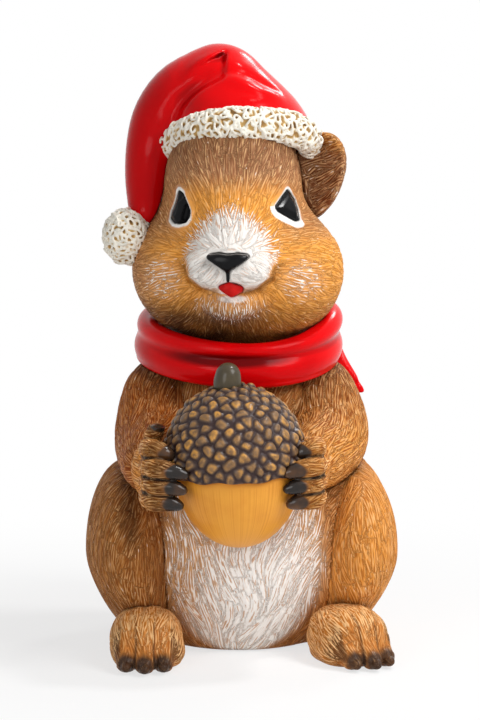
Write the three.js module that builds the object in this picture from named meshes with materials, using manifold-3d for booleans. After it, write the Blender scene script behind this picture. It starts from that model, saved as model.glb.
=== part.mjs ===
// A hand-painted cast-resin chipmunk in a red hat and scarf, holding an acorn.
// Millimetres, +Z up. The figure faces -Y, and its own left is +X. The origin is the middle of its base.
// Each casting is its own solid. Castings meet with a glue gap, located by short keys in blind sockets.
import * as THREE from "three";
import { ConvexGeometry } from "three/addons/geometries/ConvexGeometry.js";
import { mergeVertices } from "three/addons/utils/BufferGeometryUtils.js";
import Module from "manifold-3d";

const wasm = await Module();
wasm.setup();

// Driving dimensions. A form with rx, ry and rz is an ellipsoid with those half-sizes.

// Joints between castings
const GLUE_GAP = 0.3;
const KEY = { radius: 4, depth: 3.5, root: 6 }; // depth into the other casting, root back into its own

// Torso: a hollow casting of a belly, a chest and shoulders
const WALL = 5;
const BELLY = { rx: 40, ry: 40, rz: 47, y: -2, z: 36 };
const CHEST = { rx: 32, ry: 30, rz: 31, y: 1, z: 63 };
const SHOULDERS = { rx: 31, ry: 27, rz: 15, y: 2 };
const NECK = { radius: 13, length: 17, gap: 3 }; // gap: from the chest's top to the head

// Closing plate of the pour hole under the torso
const POUR_HOLE_RADIUS = 14;
const PLATE = { rim: 4, flange: 2.2, stand: 1 }; // rim beyond the hole; stand of the plug above the floor
const VENT = { radius: 4, y: 8 };

// Haunches: sink is how far the centre lies inside the belly's side
const HAUNCH = { rx: 13.4, ry: 35, rz: 28.5, sink: 3.8, y: -8, z: 30 };

// Feet: reach and inset are from the haunch's centre, forward and inward; turn is degrees outward
const FOOT = { rx: 11.4, ry: 15, rz: 10.5, instep: 7, reach: 34, inset: 4.6, turn: { right: 4, left: 22 } };
const TOE = { count: 3, pitch: 7.4, root: 4.6, tip: 3.4, length: 8, setBack: 7, curl: 1.6 };

// Tail: radii of its root, middle and tip, standing up behind the belly
const TAIL = { root: 9, middle: 13, tip: 6, height: 68, lean: 13, rise: [0.4, 0.7] };

// Arms: sink is how far a ball's centre lies inside the chest's side, drop is below the chest's top
const SHOULDER = { radius: 11.5, sink: 8, y: -5, drop: 16 };
const ELBOW = { radius: 13.6, sink: 5, y: -15, drop: 27.5 };
const WRIST = { radius: 9, back: 13.5, drop: 2, out: 1.2 }; // from the palm, and below the cap's rim

// Paws, on either side of the acorn: wrap is how many degrees the fingers reach round the cap
const PALM = { rx: 7, ry: 9, rz: 9.5, out: 1.2, back: 5 };
const FINGER = { count: 4, pitch: 5.1, root: 3.6, tip: 2.7, wrap: 43, bite: 1.2, knuckle: 0.6 };

// Acorn, on its own leaning axis, z = 0 at the rim of the cap; standoff is from the chest to the cap
const ACORN = { x: -5.6, standoff: 1.9, rise: 1, leanX: 3, leanY: -3.6 };
const NUT = { radius: 18.4, length: 25, tenon: 8, tenonRadius: 12 };
const CAP = { radius: 21.6, height: 25, skirt: 3.5 };
const STEM = { radius: 4.2, length: 7.5, bend: 2 };

// Head, in its own frame: origin between the cheeks, facing -Y; turn is degrees toward the figure's right
const HEAD = { turn: -9, y: -6 };
const CRANIUM = { rx: 24.2, ry: 32, rz: 30, y: 2, z: 16 };
const CHEEK = { rx: 19.5, ry: 23, rz: 19, x: 14, y: -6, z: -5 };
const JAW = { rx: 26, ry: 27, rz: 19, y: 2, z: -9 };
const MUZZLE = { rx: 15, ry: 17, rz: 11.5, y: -24.5, z: -2 };

// Face: stand is how far a centre stands out of the surface it is set in
const EYE = { rx: 4.4, ry: 3.2, rz: 5.8, x: 17.4, z: 17, stand: -2.2, turn: 38 };
const NOSE = { rx: 6.5, ry: 4.2, rz: 4.4, z: 1.5, stand: -0.8 };
const TONGUE = { rx: 4, ry: 4, rz: 2.4, z: -7, stand: -2.8 };
const EAR = { rx: 8.6, ry: 5, rz: 12.8, sink: 0, y: 5, rise: 8.5, lean: 14, keyDrop: 4 };
const EAR_CUP = { depth: 2.8, rim: 2.5 };

// Hat: rise is above the cranium's centre, over is how far the crown stands out of the brim's middle line
const BRIM = { tube: 4.9, stand: 0.9, back: 4, rise: 17, tilt: -19, over: 1.5 };
const CROWN_HEIGHT = 22.5;
// The hanging fold, ball by ball from the peak: x from the cranium's right side, y, z from its centre, radius
const HAT_FOLD = [
  [17.2, 6, 35.5, 14],
  [3.7, 3, 28, 10.8],
  [-2.3, -2, 17, 8.6],
  [-4.4, -5, 6, 7],
  [-4.8, -8, -2.5, 5.4],
];
const POMPOM = { radius: 8.9, x: -10.2, y: -9.5, z: -10.6, key: 2 };

// Scarf: a collar of two rolls between chest and head, and an end that hangs behind the left shoulder
const COLLAR = { over: 3, overFront: 6.5, upper: 4.6, lower: 4.8, y: -1.5, rise: 2, tilt: 6 };
const SCARF_END = { width: 15, thickness: 5, drop: 22, y: 13, swell: [-2, 2.5, 4] };

// Facets round and along the round forms
const FINE = { around: 16, along: 9 };
const MIDDLING = { around: 12, along: 7 };
const COARSE = { around: 8, along: 5 };
const RING_FACETS = 22;
const ARC_STEPS = 8;
const BEYOND = 200; // larger than the figure, for cutting tools

// What follows from the driving dimensions
const rad = THREE.MathUtils.degToRad;
const SIDES = { right: -1, left: 1 };
const shrink = (offset, radius) => Math.sqrt(1 - (offset / radius) ** 2); // of an ellipse, off its centre
const sideOf = (form, z) => form.rx * shrink(z - form.z, form.rz);
const frontOf = (form, x, z) =>
  form.y - form.ry * Math.sqrt(shrink(z - form.z, form.rz) ** 2 - (x / form.rx) ** 2);

const CHEST_TOP = CHEST.z + CHEST.rz;
const HAUNCH_X = BELLY.rx - HAUNCH.sink;
const FOOT_X = HAUNCH_X - FOOT.inset;
const BELLY_BACK = BELLY.y + BELLY.ry;
const ACORN_Y = CHEST.y - CHEST.ry - CAP.radius - ACORN.standoff;
const ACORN_Z = CHEST.z + ACORN.rise;
const PALM_REACH = CAP.radius + PALM.out;
const WRIST_Y = ACORN_Y + WRIST.back;
const WRIST_Z = ACORN_Z - WRIST.drop;
const HEAD_Z = CHEST_TOP + NECK.gap + JAW.rz - JAW.z;
const BRIM_RX = CRANIUM.rx * shrink(BRIM.rise, CRANIUM.rz) + BRIM.stand;
const BRIM_RY = CRANIUM.ry * shrink(BRIM.rise, CRANIUM.rz) - BRIM.stand;
const shoulderForm = { ...SHOULDERS, z: CHEST_TOP - SHOULDERS.rz };
const hatFold = HAT_FOLD.map(([x, y, z, r]) => [x - CRANIUM.rx, y, z + CRANIUM.z, r]);
const pompomCentre = [POMPOM.x - CRANIUM.rx, POMPOM.y, POMPOM.z + CRANIUM.z];

// Paints
const paint = (color, roughness) => new THREE.MeshStandardMaterial({ color, roughness, metalness: 0 });
const FUR = paint(0xb5713a, 0.6);
const PALE_FUR = paint(0xc98a4b, 0.6);
const RED = paint(0xc8101c, 0.28);
const WHITE_TRIM = paint(0xeee6d2, 0.7);
const BLACK = paint(0x141416, 0.15);
const TONGUE_RED = paint(0xb8201c, 0.4);
const NUT_TAN = paint(0xd99a3e, 0.35);
const CAP_BROWN = paint(0x5b4640, 0.6);
const STEM_GREY = paint(0x55503e, 0.55);
const BARE_RESIN = paint(0xd8cfbd, 0.8);

// Solids

function solidOf(geometry) {
  const bare = new THREE.BufferGeometry().setAttribute("position", geometry.getAttribute("position"));
  if (geometry.index) bare.setIndex(geometry.index);
  const merged = mergeVertices(bare);
  return new wasm.Manifold(
    new wasm.Mesh({
      numProp: 3,
      vertProperties: new Float32Array(merged.attributes.position.array),
      triVerts: new Uint32Array(merged.index.array),
    }),
  );
}

function geometryOf(solid) {
  const mesh = solid.getMesh();
  const geometry = new THREE.BufferGeometry();
  geometry.setAttribute("position", new THREE.BufferAttribute(mesh.vertProperties, mesh.numProp));
  geometry.setIndex(new THREE.BufferAttribute(mesh.triVerts, 1));
  geometry.computeVertexNormals();
  return geometry;
}

const placed = (solid, matrix) => solid.transform(matrix.elements);
const unite = (solids) => solids.reduce((sum, solid) => sum.add(solid));
const cutBy = (solid, ...tools) => tools.reduce((rest, tool) => rest.subtract(tool), solid);

// A ball stretched to three half-sizes, its poles along Z.
function stretchedBall({ x = 0, y = 0, z = 0, rx, ry, rz }, grow, facets) {
  const ball = new THREE.SphereGeometry(1, facets.around, facets.along);
  ball.rotateX(Math.PI / 2);
  ball.scale(rx + grow, ry + grow, rz + grow);
  ball.translate(x, y, z);
  return ball;
}

const ellipsoid = (form, grow = 0, facets = FINE) => solidOf(stretchedBall(form, grow, facets));
const roundForm = ([x, y, z], r) => ({ x, y, z, rx: r, ry: r, rz: r });

function hullPoints(form, grow, facets) {
  const spots = stretchedBall(form, grow, facets).getAttribute("position");
  return Array.from({ length: spots.count }, (_, i) => new THREE.Vector3().fromBufferAttribute(spots, i));
}

const hull = (...clouds) => solidOf(new ConvexGeometry(clouds.flat()));

// A limb: each pair of neighbouring balls [x, y, z, radius] wrapped in a skin, all joined.
function limb(balls, grow = 0, facets = COARSE) {
  const clouds = balls.map(([x, y, z, r]) => hullPoints(roundForm([x, y, z], r), grow, facets));
  return unite(clouds.slice(1).map((cloud, i) => hull(clouds[i], cloud)));
}

// A round bar from a point along a direction.
function bar(from, direction, radius, length, facets = COARSE.around) {
  const rod = new THREE.CylinderGeometry(radius, radius, length, facets);
  rod.translate(0, length / 2, 0);
  const way = new THREE.Vector3(...direction).normalize();
  rod.applyQuaternion(new THREE.Quaternion().setFromUnitVectors(new THREE.Vector3(0, 1, 0), way));
  rod.translate(...from);
  return solidOf(rod);
}

// A locating key at a point on the surface of the casting it goes into.
function keyAt(point, direction, grow = 0) {
  const way = new THREE.Vector3(...direction).normalize();
  const start = new THREE.Vector3(...point).addScaledVector(way, -KEY.root);
  return bar(start.toArray(), way.toArray(), KEY.radius + grow, KEY.root + KEY.depth + grow);
}

function slabBelow(z) {
  const block = new THREE.BoxGeometry(2 * BEYOND, 2 * BEYOND, BEYOND);
  block.translate(0, 0, z - BEYOND / 2);
  return solidOf(block);
}

// A solid of revolution about Z from points [radius, z].
function turned(profile, facets = FINE.around) {
  const lathe = new THREE.LatheGeometry(profile.map(([r, z]) => new THREE.Vector2(r, z)), facets);
  lathe.rotateX(Math.PI / 2);
  return solidOf(lathe);
}

function arc([centreR, centreZ], [rr, rz], fromDegrees, toDegrees, steps = ARC_STEPS) {
  return Array.from({ length: steps + 1 }, (_, i) => {
    const angle = rad(fromDegrees + ((toDegrees - fromDegrees) * i) / steps);
    return [centreR + rr * Math.cos(angle), centreZ + rz * Math.sin(angle)];
  });
}

const BELOW_GROUND = slabBelow(0);

// Frames of the head and of the acorn
const headFrame = new THREE.Group();
headFrame.position.set(0, HEAD.y, HEAD_Z);
headFrame.rotation.z = rad(HEAD.turn);
headFrame.updateMatrix();

const acornFrame = new THREE.Group();
acornFrame.position.set(ACORN.x, ACORN_Y, ACORN_Z);
acornFrame.rotation.set(rad(ACORN.leanX), rad(ACORN.leanY), 0);
acornFrame.updateMatrix();

const figure = new THREE.Group();
figure.add(headFrame, acornFrame);

function add(frame, name, solid, material) {
  const mesh = new THREE.Mesh(geometryOf(solid), material);
  mesh.name = name;
  frame.add(mesh);
}

// Acorn: the nut's tenon sits in the cap, and the stem's foot in the top of the cap

function nutSolid(grow = 0) {
  const r = NUT.radius + grow;
  const bowl = arc([0, 0], [r, NUT.length + grow], -90, 0).slice(1);
  const shoulder = grow > 0 ? [[r, grow]] : [];
  const tenonRadius = NUT.tenonRadius + grow;
  const top = NUT.tenon + grow;
  const tenon = [[tenonRadius, grow], [tenonRadius, top], [0, top]];
  return turned([[0, -NUT.length - grow], ...bowl, ...shoulder, ...tenon]);
}

function capSolid(grow = 0) {
  const r = CAP.radius + grow;
  const rim = -CAP.skirt - grow;
  const top = CAP.height + grow;
  return turned([[0, rim], [r - CAP.skirt / 2, rim], ...arc([0, 0], [r, top], 0, 90).slice(0, -1), [0, top]]);
}

function stemSolid(grow = 0) {
  const { radius, length, bend } = STEM;
  const foot = [0, 0, CAP.height - KEY.depth, radius];
  const middle = [-bend / 2, 0, CAP.height + length / 3, radius];
  const top = [-bend, 0, CAP.height + length - radius, radius];
  return limb([foot, middle, top], grow);
}

const nut = nutSolid();
const stem = stemSolid();
const acornGrown = unite([nutSolid(GLUE_GAP), capSolid(GLUE_GAP), stemSolid(GLUE_GAP)]);
const acornSeat = placed(acornGrown, acornFrame.matrix);

add(acornFrame, "acorn_nut", nut, NUT_TAN);
add(acornFrame, "acorn_cap", cutBy(capSolid(), nutSolid(GLUE_GAP), stemSolid(GLUE_GAP)), CAP_BROWN);
add(acornFrame, "acorn_stem", stem, STEM_GREY);

// Head with its eyes, nose, tongue and the ear that the hat leaves free

function eyeSolid(side, grow = 0) {
  const lens = ellipsoid({ rx: EYE.rx, ry: EYE.ry, rz: EYE.rz }, grow, COARSE);
  const y = frontOf(CRANIUM, EYE.x, EYE.z) - EYE.stand;
  const place = new THREE.Matrix4().makeRotationZ(rad(EYE.turn * side));
  return placed(lens, place.setPosition(EYE.x * side, y, EYE.z));
}

const muzzleFeature = (form, grow) =>
  ellipsoid({ ...form, y: frontOf(MUZZLE, 0, form.z) - form.stand }, grow, COARSE);
const noseSolid = (grow = 0) => muzzleFeature(NOSE, grow);
const tongueSolid = (grow = 0) => muzzleFeature(TONGUE, grow);

function headSolid(grow = 0) {
  const cheeks = Object.values(SIDES).map((side) => ({ ...CHEEK, x: CHEEK.x * side }));
  return unite([CRANIUM, ...cheeks, JAW, MUZZLE].map((form) => ellipsoid(form, grow)));
}

const EAR_Z = CRANIUM.z + EAR.rise;

function earSolid(grow = 0) {
  const lobe = ellipsoid({ rx: EAR.rx, ry: EAR.ry, rz: EAR.rz }, grow, MIDDLING);
  const hollow = { y: -EAR.ry, rx: EAR.rx - EAR_CUP.rim, ry: EAR_CUP.depth, rz: EAR.rz - EAR_CUP.rim };
  const place = new THREE.Matrix4().makeRotationY(rad(EAR.lean));
  place.setPosition(CRANIUM.rx - EAR.sink, EAR.y, EAR_Z);
  return placed(lobe.subtract(ellipsoid(hollow, -grow, COARSE)), place);
}

function earKey(grow = 0) {
  const z = EAR_Z - EAR.keyDrop;
  return keyAt([sideOf(CRANIUM, z) - KEY.depth, EAR.y, z], [-1, 0, 0], grow);
}

const neckSpigot = (grow = 0) =>
  bar([0, CHEST.y, CHEST_TOP - WALL], [0, 0, 1], NECK.radius + grow, WALL + NECK.length + grow, FINE.around);

const headSkin = headSolid();
const headSeat = headSolid(GLUE_GAP);
const neckSocket = placed(neckSpigot(GLUE_GAP), headFrame.matrix.clone().invert());
const eyeSockets = Object.values(SIDES).map((side) => eyeSolid(side, GLUE_GAP));
const faceSockets = [...eyeSockets, noseSolid(GLUE_GAP), tongueSolid(GLUE_GAP), earKey(GLUE_GAP)];

add(headFrame, "head", cutBy(headSkin, neckSocket, ...faceSockets), FUR);
const ear = cutBy(earSolid(), headSeat).add(earKey().intersect(headSkin.add(earSolid())));
add(headFrame, "left_ear", ear, FUR);
add(headFrame, "right_eye", eyeSolid(SIDES.right), BLACK);
add(headFrame, "left_eye", eyeSolid(SIDES.left), BLACK);
add(headFrame, "nose", noseSolid(), BLACK);
add(headFrame, "tongue", tongueSolid(), TONGUE_RED);

// Hat: a crown that folds over to the figure's right, a fleece brim and a bobble

const brimCentre = [0, CRANIUM.y + BRIM.back, CRANIUM.z + BRIM.rise];
const brimPlace = new THREE.Matrix4().makeRotationX(rad(BRIM.tilt)).setPosition(...brimCentre);

function brimSolid(grow = 0) {
  const tube = BRIM.tube + grow;
  const hoop = turned(arc([BRIM_RX, 0], [tube, tube], -180, 180), RING_FACETS);
  return placed(hoop, new THREE.Matrix4().makeScale(1, BRIM_RY / BRIM_RX, 1).premultiply(brimPlace));
}

function hatSolid(grow = 0) {
  const [x, y, z] = brimCentre;
  const crown = { x, y, z, rx: BRIM_RX + BRIM.over, ry: BRIM_RY + BRIM.over, rz: CROWN_HEIGHT };
  const [px, py, pz, peakRadius] = hatFold[0];
  const peakBall = roundForm([px, py, pz], peakRadius);
  const peak = hull(hullPoints(crown, grow, FINE), hullPoints(peakBall, grow, FINE));
  return peak.add(limb(hatFold, grow, MIDDLING));
}

// What lies under the brim's plane and beside the hanging fold is not hat.
function belowBrim() {
  return placed(slabBelow(0), brimPlace).subtract(limb(hatFold.slice(1), GLUE_GAP, MIDDLING));
}

function pompomKey(grow = 0) {
  const tip = hatFold[hatFold.length - 1];
  const way = pompomCentre.map((value, i) => tip[i] - value);
  return bar(pompomCentre, way, POMPOM.key + grow, Math.hypot(...way) + grow);
}

const earSeat = earSolid(GLUE_GAP);
const hat = cutBy(hatSolid(), headSeat, belowBrim(), brimSolid(GLUE_GAP), pompomKey(GLUE_GAP), earSeat);
const bobble = ellipsoid(roundForm(pompomCentre, POMPOM.radius), 0, MIDDLING);
const pompom = cutBy(bobble, hatSolid(GLUE_GAP), headSeat);

add(headFrame, "hat_brim", cutBy(brimSolid(), headSeat, earSeat), WHITE_TRIM);
add(headFrame, "hat_crown", hat, RED);
add(headFrame, "hat_pompom", pompom.add(pompomKey()), WHITE_TRIM);

// Torso and its closing plate

const torsoSolid = (grow = 0) => unite([BELLY, CHEST, shoulderForm].map((form) => ellipsoid(form, grow)));

function cavity() {
  const pourHole = bar([0, 0, -WALL], [0, 0, 1], POUR_HOLE_RADIUS, 3 * WALL, FINE.around);
  return torsoSolid(-WALL).subtract(slabBelow(WALL)).add(pourHole);
}

function plateFlange(grow = 0) {
  const radius = POUR_HOLE_RADIUS + PLATE.rim + grow;
  return bar([0, 0, -grow], [0, 0, 1], radius, PLATE.flange + 2 * grow, FINE.around);
}

function closingPlate() {
  const plug = bar([0, 0, 0], [0, 0, 1], POUR_HOLE_RADIUS - GLUE_GAP, WALL + PLATE.stand, FINE.around);
  const vent = bar([0, VENT.y, -WALL], [0, 0, 1], VENT.radius, 3 * WALL, FINE.around);
  return plateFlange().add(plug).subtract(vent);
}

// Haunches, feet and tail

const haunchSolid = (side, grow = 0) => ellipsoid({ ...HAUNCH, x: HAUNCH_X * side }, grow);
const haunchKey = (side, grow = 0) =>
  keyAt([sideOf(BELLY, HAUNCH.z) * side, BELLY.y, HAUNCH.z], [-side, 0, 0], grow);

function footSolid(name, grow = 0) {
  const sole = ellipsoid({ ...FOOT, z: FOOT.instep }, grow);
  const first = -((TOE.count - 1) / 2) * TOE.pitch;
  const toes = Array.from({ length: TOE.count }, (_, i) => {
    const x = first + i * TOE.pitch;
    const y = -FOOT.ry * shrink(x, FOOT.rx) + TOE.setBack;
    return limb([[x, y, TOE.root + TOE.curl, TOE.root], [x, y - TOE.length, TOE.tip, TOE.tip]], grow);
  });
  const place = new THREE.Matrix4().makeRotationZ(rad(FOOT.turn[name] * SIDES[name]));
  place.setPosition(FOOT_X * SIDES[name], HAUNCH.y - FOOT.reach, 0);
  return placed(unite([sole, ...toes]), place);
}

function footKey(side, grow = 0) {
  const heel = HAUNCH.y - FOOT.reach + FOOT.ry;
  return keyAt([FOOT_X * side, heel - KEY.root, FOOT.instep + KEY.radius], [0, 1, 0.35], grow);
}

function tailSolid(grow = 0) {
  const { root, middle, tip, height, lean, rise } = TAIL;
  const swell = rise.map((part) => [0, BELLY_BACK + middle / 2, height * part, middle]);
  const foot = [0, BELLY_BACK - KEY.depth, root, root];
  return limb([foot, ...swell, [0, BELLY_BACK + lean, height, tip]], grow, MIDDLING);
}
const tailKey = (grow = 0) => keyAt([0, BELLY_BACK, TAIL.height * TAIL.rise[0]], [0, -1, 0], grow);

// Arms and paws

const palmX = (side) => ACORN.x + PALM_REACH * side;
const wristX = (side) => palmX(side) + WRIST.out * side;

function armSolid(side, grow = 0) {
  const balls = [SHOULDER, ELBOW].map(({ sink, y, drop, radius }) =>
    [(CHEST.rx - sink) * side, y, CHEST_TOP - drop, radius]);
  return limb([...balls, [wristX(side), WRIST_Y, WRIST_Z, WRIST.radius]], grow, MIDDLING);
}

function armKey(side, grow = 0) {
  const z = CHEST_TOP - (SHOULDER.drop + ELBOW.drop) / 2;
  return keyAt([sideOf(CHEST, z) * side, CHEST.y + SHOULDER.y / 2, z], [-side, 0, 0], grow);
}

function pawSolid(side) {
  const palm = ellipsoid({ ...PALM, x: palmX(side), y: ACORN_Y + PALM.back, z: WRIST_Z }, 0, MIDDLING);
  const wrapRadius = CAP.radius - FINGER.bite;
  const tipX = ACORN.x + wrapRadius * Math.cos(rad(FINGER.wrap)) * side;
  const tipY = ACORN_Y - wrapRadius * Math.sin(rad(FINGER.wrap));
  const top = WRIST_Z + ((FINGER.count - 1) / 2) * FINGER.pitch;
  const fingers = Array.from({ length: FINGER.count }, (_, i) => {
    const z = top - i * FINGER.pitch;
    const root = [palmX(side), ACORN_Y, z, FINGER.root];
    const knuckle = [palmX(side) - side, ACORN_Y + (tipY - ACORN_Y) * FINGER.knuckle, z, FINGER.root];
    return limb([root, knuckle, [tipX, tipY, z, FINGER.tip]]);
  });
  return unite([palm, ...fingers]);
}
const wristKey = (side, grow = 0) => keyAt([wristX(side), WRIST_Y - KEY.root, WRIST_Z], [0, 1, 0], grow);

// Scarf

const collarPlace = new THREE.Matrix4().makeRotationX(rad(COLLAR.tilt));
collarPlace.setPosition(0, COLLAR.y, CHEST_TOP + COLLAR.rise);

// Two rolls, one over the other: the disc they edge is then cut back to the neck, chest and head.
function collarSolid(grow = 0) {
  const { upper, lower, over, overFront } = COLLAR;
  const rx = SHOULDERS.rx + over;
  const ry = SHOULDERS.ry + overFront;
  const rollSteps = 5;
  const low = arc([rx - lower, -lower], [lower + grow, lower + grow], -90, 40, rollSteps);
  const high = arc([rx - upper, upper - 1], [upper + grow, upper + grow], -40, 90, rollSteps);
  const bottom = low[0][1];
  const top = high[rollSteps][1];
  const disc = turned([[0, bottom], ...low, ...high, [0, top]], RING_FACETS);
  return placed(disc, new THREE.Matrix4().makeScale(1, ry / rx, 1).premultiply(collarPlace));
}

// The hanging end swells out from the back of the shoulder, row by row from its top to its hem.
function scarfEnd() {
  const top = CHEST_TOP + COLLAR.rise - COLLAR.lower;
  const thick = SCARF_END.thickness / 2;
  const inner = SHOULDERS.rx - SCARF_END.thickness;
  const edges = [-1, 1].map((edge) => SCARF_END.y + (edge * SCARF_END.width) / 2);
  const rows = SCARF_END.swell.map((swell, i) => {
    const z = top - (SCARF_END.drop * i) / (SCARF_END.swell.length - 1);
    const spots = edges.flatMap((y) => [[inner, y, z], [SHOULDERS.rx + swell, y, z]]);
    return spots.flatMap((spot) => hullPoints(roundForm(spot, thick), 0, COARSE));
  });
  return unite(rows.slice(1).map((row, i) => hull(rows[i], row)));
}

// Assembly of the body

const torsoSkin = torsoSolid();
const torsoSeat = torsoSolid(GLUE_GAP);
const collarSeat = collarSolid(GLUE_GAP);
const socketsOf = (side) => [haunchKey(side, GLUE_GAP), armKey(side, GLUE_GAP)];
const sockets = [tailKey(GLUE_GAP), ...Object.values(SIDES).flatMap(socketsOf)];
const torsoCuts = [cavity(), BELOW_GROUND, plateFlange(GLUE_GAP), acornSeat, ...sockets];

add(figure, "torso", cutBy(torsoSkin.add(neckSpigot()), ...torsoCuts), FUR);
add(figure, "base_plate", closingPlate(), BARE_RESIN);

for (const [name, side] of Object.entries(SIDES)) {
  const armSeat = armSolid(side, GLUE_GAP);
  const haunch = cutBy(haunchSolid(side), torsoSeat, armSeat, footSolid(name, GLUE_GAP), BELOW_GROUND)
    .add(haunchKey(side).intersect(haunchSolid(side).add(torsoSkin)));
  const foot = cutBy(footSolid(name), torsoSeat, BELOW_GROUND).add(footKey(side));
  const arm = cutBy(armSolid(side), torsoSeat, collarSeat)
    .add(armKey(side).intersect(armSolid(side).add(torsoSkin)));
  const paw = cutBy(pawSolid(side), armSeat, torsoSeat).add(wristKey(side));
  add(figure, name + "_haunch", haunch.subtract(footKey(side, GLUE_GAP)), FUR);
  add(figure, name + "_foot", foot, PALE_FUR);
  add(figure, name + "_arm", cutBy(arm, acornSeat, wristKey(side, GLUE_GAP)), FUR);
  add(figure, name + "_paw", paw.subtract(acornSeat), PALE_FUR);
}

const tail = cutBy(tailSolid(), torsoSeat, BELOW_GROUND).add(tailKey().intersect(tailSolid().add(torsoSkin)));
add(figure, "tail", tail, FUR);

const headInBody = placed(headSeat, headFrame.matrix);
const collar = cutBy(collarSolid(), torsoSeat, neckSpigot(GLUE_GAP), headInBody, acornSeat);
add(figure, "scarf_collar", collar, RED);

const endClear = [torsoSeat, collarSeat, armSolid(SIDES.left, GLUE_GAP), haunchSolid(SIDES.left, GLUE_GAP)];
add(figure, "scarf_end", cutBy(scarfEnd(), ...endClear), RED);

export default figure;
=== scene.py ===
"""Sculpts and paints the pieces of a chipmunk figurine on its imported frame.

Each piece is a form: a function that gives the distance in millimetres of any point from the piece's
surface, negative inside. A form is meshed, brushed with fur strokes, scales, curls or folds, and painted by
values kept on its points. Left and right are the figure's own, and it faces -Y.
"""

import math
from collections import namedtuple

import bpy
import numpy as np
import openvdb
from bpy.props import FloatProperty, FloatVectorProperty, IntProperty, PointerProperty
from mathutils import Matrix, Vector
from mathutils.kdtree import KDTree


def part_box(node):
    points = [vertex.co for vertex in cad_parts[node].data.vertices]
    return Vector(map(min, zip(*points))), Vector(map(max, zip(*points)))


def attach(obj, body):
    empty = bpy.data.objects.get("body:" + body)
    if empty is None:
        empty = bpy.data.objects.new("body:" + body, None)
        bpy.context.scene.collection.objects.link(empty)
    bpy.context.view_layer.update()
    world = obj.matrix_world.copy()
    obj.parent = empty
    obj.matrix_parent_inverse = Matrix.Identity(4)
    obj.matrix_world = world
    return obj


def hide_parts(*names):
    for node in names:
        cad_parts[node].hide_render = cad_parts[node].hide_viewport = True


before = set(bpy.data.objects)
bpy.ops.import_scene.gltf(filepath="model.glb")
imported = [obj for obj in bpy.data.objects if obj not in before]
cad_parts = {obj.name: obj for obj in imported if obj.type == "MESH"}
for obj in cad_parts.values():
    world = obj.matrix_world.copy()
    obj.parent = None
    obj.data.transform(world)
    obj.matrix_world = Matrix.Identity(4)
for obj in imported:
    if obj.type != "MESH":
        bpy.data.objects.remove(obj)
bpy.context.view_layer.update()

bl_info = {
    "name": "Chipmunk figurine",
    "version": (1, 0, 0),
    "blender": (4, 5, 0),
    "location": "View3D > Sidebar > Figurine",
    "description": "Sculpts and paints the pieces of a chipmunk figurine on its packed frame",
    "category": "Add Mesh",
}

MM = 0.001
# Gap left between a piece and its neighbour, in millimetres
GLUE_LINE = 0.15
# Keeps a division away from zero
TINY = 1e-6
SIDES = {"left": 1.0, "right": -1.0}
BODY = "root"


# Places from the frame, in millimetres


def corners(node):
    """Lowest and highest corner of a node."""
    low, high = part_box(node)
    return np.array(low) / MM, np.array(high) / MM


def middle(node):
    """Centre of a node's box."""
    low, high = corners(node)
    return (low + high) / 2


def half(node):
    """Half the size of a node's box."""
    low, high = corners(node)
    return (high - low) / 2


def outer(node, side):
    """The X of a node's face on the figure's own side."""
    return corners(node)[side == "left"][0]


def inner(node, side):
    """The X of a node's face towards the middle."""
    return corners(node)[side == "right"][0]


# Plain forms and the ways to join them


def length(v):
    """Length of each vector."""
    return np.sqrt(np.einsum("ij,ij->i", v, v))


def unit(v):
    """Vectors brought to a length of 1."""
    return v / np.maximum(length(v), TINY)[:, None]


def turn(p, degrees, axis):
    """Points turned about one axis (0, 1 or 2) through the origin."""
    p = np.asarray(p, float)
    c, s = math.cos(math.radians(degrees)), math.sin(math.radians(degrees))
    i, j = ((1, 2), (2, 0), (0, 1))[axis]
    out = p.copy()
    out[..., i] = c * p[..., i] - s * p[..., j]
    out[..., j] = s * p[..., i] + c * p[..., j]
    return out


def ellipsoid(p, centre, radii):
    """Distance from an ellipsoid, true at its surface."""
    q = (p - centre) / radii
    near = length(q)
    steep = length(q / radii)
    return near * (near - 1.0) / np.maximum(steep, TINY)


def superellipsoid(p, centre, radii, power):
    """An ellipsoid with squarer sides as its power grows past 2."""
    q = np.abs(p - centre) / radii + TINY
    near = (q**power).sum(1) ** (1.0 / power)
    steep = length((q / near[:, None]) ** (power - 1.0) / radii)
    return near * (near - 1.0) / np.maximum(steep * near, TINY)


def oval(x, z, wide, tall):
    """Distance in a plane from an oval round the origin."""
    near = np.hypot(x / wide, z / tall)
    return near * (near - 1.0) / np.maximum(np.hypot(x / wide**2, z / tall**2), TINY)


def rod(p, start, end, start_radius, end_radius):
    """A tapering rod with round ends."""
    start, axis = np.asarray(start, float), np.asarray(end, float) - np.asarray(start, float)
    share = np.clip(((p - start) @ axis) / (axis @ axis), 0.0, 1.0)
    radius = start_radius + share * (end_radius - start_radius)
    return length(p - start - share[:, None] * axis) - radius


def smooth_min(a, b, reach):
    """The nearer of two forms, with a fillet of about that reach between them."""
    share = np.clip(0.5 + 0.5 * (b - a) / reach, 0.0, 1.0)
    return b + (a - b) * share - reach * share * (1.0 - share)


def smooth_max(a, b, reach):
    """What two forms have in common, with its edges rounded over a reach."""
    return -smooth_min(-a, -b, reach)


def limb(p, balls, reach):
    """A chain of balls (x, y, z, radius) joined by tapering rods."""
    rods = [rod(p, a[:3], b[:3], a[3], b[3]) for a, b in zip(balls[:-1], balls[1:])]
    out = rods[0]
    for one in rods[1:]:
        out = smooth_min(out, one, reach)
    return out


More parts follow.
